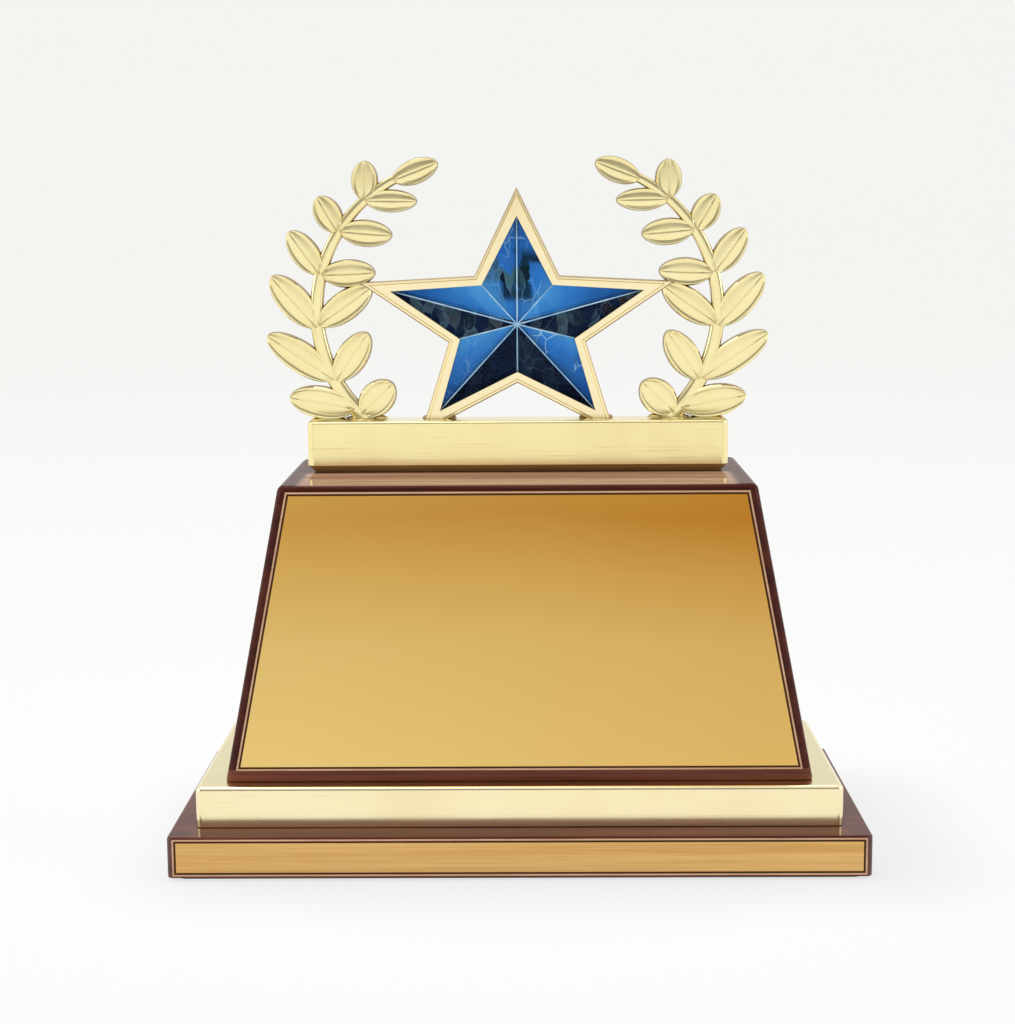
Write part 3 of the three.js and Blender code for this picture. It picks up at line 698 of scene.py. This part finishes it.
# Painted shading: the plate is painted lighter at the bottom and deeper at the top, and lighter on its left
# than on its right.
level_tone = (height - PLAQUE_LOW) / (PLAQUE_HIGH - PLAQUE_LOW) + (drift - 0.5) * 0.12
painted_lit_left = plaque_brass.ramp(level_tone, (
    (0.00, (0.835, 0.590, 0.200)), (0.45, (0.760, 0.520, 0.165)), (0.70, (0.690, 0.420, 0.105)),
    (0.90, (0.610, 0.325, 0.064)), (1.00, (0.620, 0.345, 0.070)),
))
painted_shaded_right = plaque_brass.ramp(level_tone, (
    (0.00, (0.765, 0.485, 0.135)), (0.45, (0.700, 0.440, 0.120)), (0.70, (0.620, 0.330, 0.062)),
    (0.90, (0.505, 0.200, 0.016)), (1.00, (0.520, 0.235, 0.020)),
))
tone = plaque_brass.blend(sideways * 0.6 + 0.5, painted_lit_left, painted_shaded_right)
plaque_brass.vary(
    Base_Color=plaque_brass.blend(satin_grain * 0.05, tone, rgba(0.95, 0.75, 0.38)),
    Roughness=0.28 + satin_grain * 0.10,
)
plaque_brass.bump(satin_grain, depth=0.006, strength=0.3)

plaque_front = -BLOCK_DEPTH / 2 - TAPE - PLAQUE_THICKNESS
plaque_shape = bmesh.new()
plaque_back = plaque_front + PLAQUE_THICKNESS
plaque_corner = (PLAQUE_LOW_HALF, plaque_back, PLAQUE_HIGH)
block(plaque_shape, (-PLAQUE_LOW_HALF, plaque_front, PLAQUE_LOW), plaque_corner)
plaque_top = [corner for corner in plaque_shape.verts if corner.co.z > PLAQUE_LOW + 1]
bmesh.ops.scale(plaque_shape, vec=(PLAQUE_HIGH_HALF / PLAQUE_LOW_HALF, 1, 1), verts=plaque_top)
engrave(plaque_shape)
plaque_finishes = [plaque_brass, line_paint, margin_brass]
piece("front_plaque_fine", plaque_shape, plaque_finishes, "satin_gold", "front_plaque")

# %% [markdown]
# ## The bar
# The bar carries the ornament. It is a solid gilt bar with a small bevel on top, a wide one below, and
# round ends, and short brown lines run along its face.

# %% Bar
BAR_TOP, BAR_WIDTH, BAR_DEPTH, BAR_BACK = 126.4, 125, 14, 3.5
bar_shape = bmesh.new()
slab(
    bar_shape, BAR_WIDTH, BAR_DEPTH, BLOCK_HIGH, BAR_TOP, corner=2.2, top_edge=0.8, bottom_edge=2.2,
    middle=BAR_BACK, foot_steps=1, foot_finish=1,
)
piece("ornament_bar_fine", bar_shape, [bar_gilt, bar_bevel_painted_reflection], "pale_gold", "ornament_bar")

# %% [markdown]
# ## The star's bezel
# The bezel is a cast frame that holds the crystal. Its section is the same all the way round the star, so
# it is built like a picture frame. One star shaped loop is pulled out into a strip of faces, the strip's
# far edge is laid on the next corner of the section, and so on round the section until the last strip
# meets the first. The star loop itself starts as a circle of ten corners, which are moved to the tips and
# notches. The section has a scribed groove near its outer edge, and a few flattened beads of solder hold
# the two feet to the bar.

# %% Star loops
STAR_LEVEL = 154.6
STAR_FRONT, STAR_BACK = 4.35, 10.35
BEZEL = ((49.4, 40.4), (21.6, 17.6))
CRYSTAL = ((39.2, 31.6), (17.8, 14.1))
GIRDLE_FRONT, GIRDLE_BACK, FLANGE, SETTING_GAP, CROWN = 6.55, 8.55, 0.4, 0.12, 3.6


def star(sizes, grow=0.0):
    """The ten corners of a star, clockwise from the top, moved out square to its sides."""
    corners = []
    for step in range(10):
        across, upward = sizes[step % 2]
        angle = math.radians(36 * step)
        corners.append(Vector((across * math.sin(angle), upward * math.cos(angle))))
    moved = []
    for before, corner, after in zip(corners[-1:] + corners, corners, corners[1:] + corners[:1]):
        first, second = (corner - before).normalized(), (after - corner).normalized()
        outward = Vector((-first.y, first.x)), Vector((-second.y, second.x))
        mitre = (outward[0] + outward[1]) / (1 + outward[0].dot(outward[1]))
        moved.append(corner + mitre * grow)
    return moved


def next_loop(shape, edges, corners, new_corners, new_y):
    """Pulls a strip of faces out of a star loop, and lays its far edge on the next outline."""
    strip = bmesh.ops.extrude_edge_only(shape, edges=edges)["geom"]
    moved = {item for item in strip if isinstance(item, bmesh.types.BMVert)}
    for vertex in moved:
        spot = Vector((vertex.co.x, vertex.co.z - STAR_LEVEL))
        nearest = min(range(10), key=lambda step: (corners[step] - spot).length)
        vertex.co = (new_corners[nearest].x, new_y, STAR_LEVEL + new_corners[nearest].y)
    return [item for item in strip if isinstance(item, bmesh.types.BMEdge) and moved.issuperset(item.verts)]


def star_loop(shape, corners, y):
    loop = bmesh.ops.create_circle(shape, cap_ends=False, radius=1, segments=10)["verts"]
    for vertex, corner in zip(loop, corners):
        vertex.co = (corner.x, y, STAR_LEVEL + corner.y)
    return list({edge for vertex in loop for edge in vertex.link_edges})


girdle = star(CRYSTAL, FLANGE)
opening = star(CRYSTAL, SETTING_GAP)
setting = star(CRYSTAL, FLANGE + SETTING_GAP)
section = (  # from the opening outwards: flat, scribed groove, outer band, rounded edge, wall, back, setting
    (opening, STAR_FRONT), (star(BEZEL, -1.16), STAR_FRONT), (star(BEZEL, -1.01), STAR_FRONT + 0.20),
    (star(BEZEL, -0.86), STAR_FRONT + 0.04), (star(BEZEL, -0.36), STAR_FRONT + 0.07),
    (star(BEZEL, -0.08), STAR_FRONT + 0.30), (star(BEZEL), STAR_FRONT + 0.80), (star(BEZEL), STAR_BACK),
    (setting, STAR_BACK), (setting, GIRDLE_FRONT), (opening, GIRDLE_FRONT),
)

# %% Bezel
FACE_DEPTH = 0.12  # what lies deeper than this behind the front is wall
SOLDER_DEPTH = 7.2
BEZEL_SOLDER = ((20.4, 2.0), (27.4, 1.3))  # how far out, half its length


def bead(shape, centre, size, finish=0):
    """A flattened blob of solder, filed back."""
    made = bmesh.ops.create_icosphere(shape, subdivisions=3, radius=1)["verts"]
    bmesh.ops.scale(shape, vec=size, verts=made)
    bmesh.ops.translate(shape, vec=centre, verts=made)
    for face in {face for vertex in made for face in vertex.link_faces}:
        face.material_index = finish
    return made


bezel_shape = bmesh.new()
loop = star_loop(bezel_shape, *section[0])
for (here, _), (there, depth) in zip(section, section[1:] + section[:1]):
    loop = next_loop(bezel_shape, loop, here, there, depth)
bmesh.ops.remove_doubles(bezel_shape, verts=bezel_shape.verts, dist=0.001)
bmesh.ops.recalc_face_normals(bezel_shape, faces=bezel_shape.faces)
at_front = STAR_FRONT + 0.01
crisp = [
    edge for edge in bezel_shape.edges
    if edge.calc_face_angle() > math.radians(80) and all(corner.co.y < at_front for corner in edge.verts)
]
soften(bezel_shape, crisp, 0.10, segments=2)
# The bezel's wall and back faces take the darker cast finish, partly painted shade that outlines the frame.
for face in bezel_shape.faces:
    if STAR_FRONT + FACE_DEPTH < face.calc_center_median().y < STAR_BACK - 0.01:
        face.material_index = 1
for sign in (-1, 1):
    for x, half in BEZEL_SOLDER:
        bead(bezel_shape, (sign * x, SOLDER_DEPTH, BAR_TOP), (half, 2.4, 0.9), finish=1)
cut(bezel_shape, Vector((0, 0, BAR_TOP + 0.05)), down)
piece("star_bezel_fine", bezel_shape, [bezel_gilt, cast_wall_painted_shade], "pale_gold", "star_bezel", limit=20)

# %% [markdown]
# ## The crystal star
# The crystal is a flat backed star with ten facets that rise to one point. Starting from its outline, an
# inset leaves the narrow ledge that the bezel grips, and poking the face puts one vertex in its middle,
# which is pulled forward. The ridges are polished to a hair's width, and the bevel gives those narrow flats
# a finish of their own: an opaque lighter blue, a painted highlight along each ridge. Glass colour goes on
# the shader itself.

# %% Crystal
glass = Finish("blue_crystal", Roughness=0.0, IOR=1.5, Transmission_Weight=1.0,
               Specular_Tint=rgba(0.12, 0.18, 0.34))
swirl = glass.noise((70, 70, 70), detail=2)
glass.vary(Base_Color=glass.ramp(swirl, ((0.3, (0.72, 0.86, 1.0)), (0.7, (0.86, 0.94, 1.0)))))
# The ridge flats are painted a lighter blue as a painted highlight.
ridge_painted_highlight = Finish("ridge_painted_highlight", Roughness=0.3, IOR=1.5)
glint = ridge_painted_highlight.noise((160, 160, 160), detail=2)
ridge_painted_highlight.vary(
    Base_Color=ridge_painted_highlight.ramp(glint, ((0.35, (0.22, 0.50, 0.82)), (0.6, (0.52, 0.80, 1.00)))),
    Roughness=0.25 + glint * 0.2,
)

crystal_shape = bmesh.new()
outline = star_loop(crystal_shape, girdle, GIRDLE_FRONT)
ledge = bmesh.ops.contextual_create(crystal_shape, geom=outline)["faces"][0]
back = bmesh.ops.extrude_face_region(crystal_shape, geom=[ledge])["geom"]
back_corners = [item for item in back if isinstance(item, bmesh.types.BMVert)]
bmesh.ops.translate(crystal_shape, vec=(0, GIRDLE_BACK - GIRDLE_FRONT, 0), verts=back_corners)
bmesh.ops.recalc_face_normals(crystal_shape, faces=crystal_shape.faces)
table_face = front_face(crystal_shape)
inset(crystal_shape, table_face, FLANGE)
poked = bmesh.ops.poke(crystal_shape, faces=[table_face])
apex = poked["verts"][0]
apex.co = (0, GIRDLE_FRONT - CROWN, STAR_LEVEL)
ridges = list(apex.link_edges)
soften(crystal_shape, ridges, 0.19, segments=1, finish=1)
piece("star_crystal_fine", crystal_shape, [glass, ridge_painted_highlight], "crystal", "star_crystal", limit=1)

# %% [markdown]
# ## The foil behind the crystal
# Clear blue glass alone looks pale. The depth comes from a flat blue mirror foil behind it, split into the
# same ten facets, and the light and shade of each facet is painted on it: the ones that lean up are painted
# bright blue and the ones that lean down nearly black, with painted smoky dark reflections. Each triangle
# of the foil stores how bright it is painted at the middle, at its notch and at its tip, and the shader runs
# between them. It also stores how much painted dark reflection and how many painted glints it has. Two
# painted dark reflections in the top arm are placed by height.

# %% Foil
FOIL_PAINTED_LIGHT = (  # painted light at the middle, tip and notch, painted dark reflection, painted glint: clockwise from the top arm's right half
    (0.78, 0.58, 0.84, 0.15, 0.45), (0.92, 0.40, 0.92, 0.00, 0.00), (0.12, 0.20, 0.18, 0.95, 0.15),
    (0.80, 0.42, 0.92, 0.25, 1.00), (0.06, 0.02, 0.10, 0.20, 0.10), (0.06, 0.02, 0.06, 0.10, 0.00),
    (0.86, 0.40, 0.94, 0.10, 0.20), (0.16, 0.14, 0.26, 1.00, 0.15), (0.84, 0.46, 0.92, 0.00, 0.00),
    (0.78, 0.58, 0.88, 0.15, 0.35),
)
FOIL_THICKNESS, FOIL_GAP = 0.2, 0.03
MIDDLE_WITHIN, TIP_BEYOND = 1, 24  # how far a facet's corner is from the star's middle
foil_shape = bmesh.new()
painted_light_layer = foil_shape.loops.layers.float.new("glow")
dark_reflection_layer = foil_shape.loops.layers.float.new("smoke")
painted_glint_layer = foil_shape.loops.layers.float.new("spark")
foil_outline = star_loop(foil_shape, girdle, GIRDLE_BACK + FOIL_GAP)
foil_face = bmesh.ops.contextual_create(foil_shape, geom=foil_outline)["faces"][0]
foil_back = bmesh.ops.extrude_face_region(foil_shape, geom=[foil_face])["geom"]
foil_back = [item for item in foil_back if isinstance(item, bmesh.types.BMVert)]
bmesh.ops.translate(foil_shape, vec=(0, FOIL_THICKNESS - FOIL_GAP, 0), verts=foil_back)
bmesh.ops.recalc_face_normals(foil_shape, faces=foil_shape.faces)
middle = bmesh.ops.poke(foil_shape, faces=[front_face(foil_shape)])
for facet in middle["faces"]:
    centre = facet.calc_center_median()
    angle = math.degrees(math.atan2(centre.x, centre.z - STAR_LEVEL)) % 360
    # Each facet takes its painted light, painted dark reflection and painted glints from the table.
    at_middle, at_tip, at_notch, dark_reflection_share, painted_glint_share = FOIL_PAINTED_LIGHT[int(angle // 36)]
    for corner in facet.loops:
        reach = (Vector((corner.vert.co.x, corner.vert.co.z - STAR_LEVEL))).length
        at_edge = at_tip if reach > TIP_BEYOND else at_notch
        corner[painted_light_layer] = at_middle if reach < MIDDLE_WITHIN else at_edge
        corner[dark_reflection_layer] = dark_reflection_share
        corner[painted_glint_layer] = painted_glint_share

foil = Finish("mirror_foil", Metallic=1.0)
stored_painted_light, stored_dark_reflection = foil.painted("glow"), foil.painted("smoke")
drifting = foil.noise((150, 150, 110), detail=3)
wobble_place = {"Vector": foil.stretched((120, 120, 120)), "Scale": 1}
wobble = foil.node("ShaderNodeTexNoise", None, wobble_place, out="Color")
warp = foil.node("ShaderNodeVectorMath", {"operation": "MULTIPLY_ADD"}, {
    0: wobble, 1: (0.9, 0.9, 0.9), 2: foil.stretched((300, 300, 170)),
})
shard = foil.node("ShaderNodeTexVoronoi", {"feature": "F1"}, {"Vector": warp, "Scale": 1}, out="Color")
glint_lines = foil.node("ShaderNodeTexVoronoi", {"feature": "DISTANCE_TO_EDGE"}, {"Vector": warp, "Scale": 1})
shard_tone = foil.node("ShaderNodeSeparateColor", None, {0: shard})
patch = foil.band(drifting * 0.6 + shard_tone * 0.4, 0.42, 0.52)
# Painted glints along thin broken lines.
spark = foil.band(glint_lines, 0.008, 0.034, 1.0, 0.0) * foil.band(foil.noise((95, 95, 95), detail=1), 0.50, 0.57)
blue = foil.ramp(stored_painted_light + (drifting - 0.5) * 0.20 + (shard_tone - 0.5) * 0.08, (
    (0.0, (0.004, 0.005, 0.009)), (0.25, (0.008, 0.024, 0.080)), (0.5, (0.016, 0.100, 0.320)),
    (0.75, (0.050, 0.270, 0.680)), (1.0, (0.160, 0.560, 0.960)),
))
dark_reflection_colour = foil.ramp(drifting * 0.4 + shard_tone * 0.6, (
    (0.30, (0.004, 0.006, 0.010)), (0.46, (0.012, 0.026, 0.030)), (0.56, (0.130, 0.190, 0.200)),
    (0.64, (0.080, 0.050, 0.050)), (0.78, (0.004, 0.006, 0.010)),
))
mixed = foil.blend(patch * stored_dark_reflection, blue, dark_reflection_colour)
upward, outward = foil.axis("Z") / MM, abs(foil.axis("X")) / MM
# Two painted dark reflections in the top arm, placed by height.
upper_cloud = foil.band(upward, 166, 169) * foil.band(upward, 174, 178, 1.0, 0.0)
lower_cloud = foil.band(upward, 160, 163) * foil.band(outward, 3.2, 5.5, 1.0, 0.0)
lower_cloud = lower_cloud * foil.band(upward, 170, 172, 1.0, 0.0)
cloud = (upper_cloud + lower_cloud) * foil.band(drifting, 0.40, 0.50)
clouded = foil.blend(cloud * 0.92, mixed, foil.ramp(shard_tone, (
    (0.2, (0.004, 0.010, 0.010)), (0.5, (0.012, 0.040, 0.040)), (0.75, (0.090, 0.190, 0.190)),
)))
foil.vary(
    Base_Color=foil.blend(spark * foil.painted("spark"), clouded, rgba(0.60, 0.82, 0.92)),
    Roughness=0.26 + drifting * 0.2,
)
piece("star_foil_fine", foil_shape, [foil], "foil", "star_foil", limit=1)

# %% [markdown]
# ## Laurel leaves
# Each laurel is cast in one piece and then gilt: an arched stem and thirteen leaves. A leaf has a raised
# round rim, a panel that rises from the rim to the midrib like a shallow roof, and a fine crease along
# the midrib. Sculpting thirteen leaves by hand would make thirteen different qualities of leaf. Instead
# one short section, from midrib to edge, is given to the rows of a grid, and the columns follow the
# leaf's outline. The walls lean out towards the back, as on any casting that has to leave its mould, and
# take the darker cast finish, partly painted shade. The hollows and the leaf bases are painted a deeper
# gold as painted shade, which the mesh stores as a value on each vertex.

# %% Laurel sizes
LAUREL_FRONT, LAUREL_BACK = 6.75, 9.95
STEM_REACH, STEM_LEVEL, STEM_RADIUS = 16.3, 158.5, 43.8
STEM_FROM, STEM_TO, STEM_FOOT, STEM_END = -50, 63, 5.0, 3.1
LEAVES = (  # where on the stem, where it points, length, width
    (62, 159, 14.5, 7.5), (48.5, 91, 11.8, 8.2), (48.5, 181, 15.8, 6.9), (32.5, 60, 12.2, 8.4),
    (33, 185, 16, 8.2), (14.5, 54, 16, 8.6), (14.5, 178, 16.4, 8.6), (-6.5, 48.5, 20.8, 9.7),
    (-5.5, 145, 20, 9.1), (-28, 34, 24.4, 9.6), (-28.5, 124.5, 17.6, 9.5), (-42, 10.5, 20.4, 10.1),
    (-45, 136, 13.6, 10.3),
)
LEAF_SECTION = (  # share of the way from midrib to edge, height, painted shade in the hollows
    (0.00, -0.16, 0.25), (0.06, -0.09, 0.05), (0.20, -0.08, 0.00), (0.42, -0.12, 0.00), (0.62, -0.17, 0.05),
    (0.70, -0.19, 0.40), (0.76, -0.10, 0.10), (0.83, -0.02, 0.0), (0.93, -0.02, 0.0), (1.00, -0.32, 0.50),
)
DRAFT = 0.26
FIRST_SINK, SINK_STEP = 0.10, 0.06  # the backs of crossing leaves never lie in one plane
LAUREL_SOLDER = ((41.5, 2.6), (47.5, 4.5))  # how far out, half its length


def stem_point(degrees, radius=STEM_RADIUS):
    angle = math.radians(degrees)
    return Vector((STEM_REACH + radius * math.cos(angle), 0, STEM_LEVEL + radius * math.sin(angle)))


def boundary(verts):
    """The open edges of a sheet, from its vertices."""
    edges = {edge for vertex in verts for edge in vertex.link_edges}
    return [edge for edge in edges if len(edge.link_faces) == 1]


def new_verts(made):
    return [item for item in made["geom"] if isinstance(item, bmesh.types.BMVert)]


# %% One leaf
def leaf(shape, patina, sink, at, to, length, width):
    rows = len(LEAF_SECTION) - 1
    sheet = bmesh.ops.create_grid(shape, x_segments=20, y_segments=2 * rows, size=1)["verts"]
    widest = width / 2 - DRAFT
    for vertex in sheet:
        along = (vertex.co.x + 1) / 2
        row = round(abs(vertex.co.y) * rows)
        side = math.copysign(1, vertex.co.y)
        share, lift, hollow = LEAF_SECTION[row]
        swell = math.sin(math.pi * along)
        fullness = 1.22 - 0.10 * along
        half = widest * max(swell, 0) ** fullness
        relief = min(1.0, half / 2.2) ** 0.7
        travel = (1 - math.cos(math.pi * along)) / 2
        vertex.co.x = DRAFT + (length - 2 * DRAFT) * travel
        vertex.co.y = side * half * share
        vertex.co.z = lift * relief
        # Painted shade: a deeper gold in the hollows and near the leaf's base, where it meets the stem.
        vertex[patina] = max(hollow, 0.8 - travel * 7)
    bmesh.ops.remove_doubles(shape, verts=sheet, dist=0.01)
    sheet = [vertex for vertex in sheet if vertex.is_valid]
    walls = bmesh.ops.extrude_edge_only(shape, edges=boundary(sheet))
    foot = new_verts(walls)
    # Leaf walls take the darker cast finish, partly painted shade that outlines each leaf.
    for side in [item for item in walls["geom"] if isinstance(item, bmesh.types.BMFace)]:
        side.material_index = 1
    spread = (length / (length - 2 * DRAFT), 1 + DRAFT / widest, 0)
    middle = Matrix.Translation((-length / 2, 0, 0))
    bmesh.ops.scale(shape, vec=spread, space=middle, verts=foot)
    bmesh.ops.translate(shape, vec=(0, 0, LAUREL_FRONT - LAUREL_BACK + sink), verts=foot)
    for back in bmesh.ops.contextual_create(shape, geom=boundary(foot))["faces"]:
        back.material_index = 0
    angle = math.radians(to)
    base = stem_point(at)
    place = Matrix((
        (math.cos(angle), -math.sin(angle), 0, base.x),
        (0, 0, -1, LAUREL_FRONT),
        (math.sin(angle), math.cos(angle), 0, base.z),
        (0, 0, 0, 1),
    ))
    bmesh.ops.transform(shape, matrix=place, verts=sheet + foot)


# %% [markdown]
# The stem is a second grid, bent round the arc. Its rows make a half round section, and it narrows from
# foot to tip. Small beads of solder sit where the foot meets the bar. Each branch is trimmed level with
# the bar and mirrored for the other side.

# %% Stem, solder and both branches
STEM_SECTION = (  # share of the way from middle to edge, height, painted shade in the hollows
    (0.0, -0.05, 0.0), (0.40, -0.10, 0.0), (0.70, -0.26, 0.05), (0.90, -0.55, 0.3), (1.0, -0.9, 0.6),
)


def stem(shape, patina):
    rows = len(STEM_SECTION) - 1
    sheet = bmesh.ops.create_grid(shape, x_segments=48, y_segments=2 * rows, size=1)["verts"]
    for vertex in sheet:
        along = (vertex.co.x + 1) / 2
        share, lift, hollow = STEM_SECTION[round(abs(vertex.co.y) * rows)]
        side = math.copysign(share, vertex.co.y)
        half = (STEM_FOOT + (STEM_END - STEM_FOOT) * along) / 2 - DRAFT / 2
        spot = stem_point(STEM_FROM + (STEM_TO - STEM_FROM) * along, STEM_RADIUS + side * half)
        vertex.co = (spot.x, LAUREL_FRONT - lift, spot.z)
        # Painted shade: a deeper gold towards the stem's edges.
        vertex[patina] = hollow
    walls = bmesh.ops.extrude_edge_only(shape, edges=boundary(sheet))
    # Stem walls take the darker cast finish, partly painted shade that outlines the stem.
    for side in [item for item in walls["geom"] if isinstance(item, bmesh.types.BMFace)]:
        side.material_index = 1
    foot = new_verts(walls)
    for vertex in foot:
        vertex.co.y = LAUREL_BACK
    for back in bmesh.ops.contextual_create(shape, geom=boundary(foot))["faces"]:
        back.material_index = 0


def laurel(name, sign, finishes, node):
    shape = bmesh.new()
    patina = shape.verts.layers.float.new("patina")
    stem(shape, patina)
    for number, spec in enumerate(LEAVES):
        leaf(shape, patina, FIRST_SINK + SINK_STEP * (number % 3), *spec)
    depth = (LAUREL_FRONT + LAUREL_BACK) / 2
    # The solder beads are painted with some hollow shade, a deeper gold.
    for x, half in LAUREL_SOLDER:
        for vertex in bead(shape, (x, depth, BAR_TOP - 0.2), (half, 1.5, 1.1)):
            vertex[patina] = 0.45
    cut(shape, Vector((0, 0, BAR_TOP + 0.03)), down)
    bmesh.ops.scale(shape, vec=(sign, 1, 1), verts=shape.verts)
    piece(name, shape, finishes, "pale_gold", node, limit=38)


cast_gilt = Finish("laurel_gilt", Metallic=1.0)
worn_cloud = cast_gilt.noise((110, 110, 110), detail=3)
skin = cast_gilt.noise((700, 700, 700), detail=2, rough=0.6)
# The stored value paints shade into the hollows as a deeper gold.
hollow_shade_share = cast_gilt.painted("patina")
cloudy = cast_gilt.band(worn_cloud, 0.35, 0.7) * 0.4
face_tone = cast_gilt.blend(cloudy, rgba(0.995, 0.885, 0.480), rgba(0.940, 0.790, 0.370))
cast_gilt.vary(
    Base_Color=cast_gilt.blend(hollow_shade_share * (0.55 + worn_cloud * 0.5), face_tone, rgba(0.62, 0.44, 0.17)),
    Roughness=0.16 + skin * 0.08 + hollow_shade_share * 0.12,
)
cast_gilt.bump(skin, depth=0.012, strength=0.3)
laurel("laurel_right_fine", 1, [cast_gilt, cast_wall_painted_shade], "laurel_right")
laurel("laurel_left_fine", -1, [cast_gilt, cast_wall_painted_shade], "laurel_left")

# %% [markdown]
# ## What stays hidden
# The tapes, the core, the glue blocks, the screws, the bolts and the back plate keep their measured
# shapes, because those are already right. They still get real finishes, since the back plate shows from
# behind and the rest shows when the award is taken apart.

# %% Finishes for the inner solids
def plain_finish(name, dark, light, grain, roughness, metallic=0.0, depth=0.03):
    finish = Finish(name, Metallic=metallic)
    pattern = finish.noise(grain, detail=4, rough=0.65)
    finish.vary(
        Base_Color=finish.ramp(pattern, ((0.3, dark), (0.7, light))),
        Roughness=roughness + pattern * 0.15,
    )
    finish.bump(pattern, depth=depth, strength=0.5)
    return finish


tape_paper = plain_finish("tape_paper", (0.60, 0.58, 0.52), (0.74, 0.72, 0.66), (400, 400, 400), 0.6)
fibreboard = plain_finish("raw_fibreboard", (0.24, 0.14, 0.07), (0.40, 0.26, 0.14), (900, 900, 900), 0.75)
bare_wood = plain_finish(
    "sawn_wood", (0.30, 0.17, 0.07), (0.48, 0.29, 0.13), (700, 700, 60), 0.7, depth=0.08,
)
zinc = plain_finish(
    "zinc_plate", (0.42, 0.42, 0.43), (0.58, 0.58, 0.59), (600, 600, 1200), 0.28, metallic=1.0,
)
INNER = {
    "tape": tape_paper, "step_core": fibreboard, "glue_block": bare_wood, "screw": zinc, "bolt": zinc,
    "washer": zinc, "star_back_plate": bezel_gilt,
}
for name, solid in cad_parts.items():
    for word, finish in INNER.items():
        if word in name:
            for holder in solid.material_slots:
                holder.material = finish.material
            print(name, "->", finish.material.name)
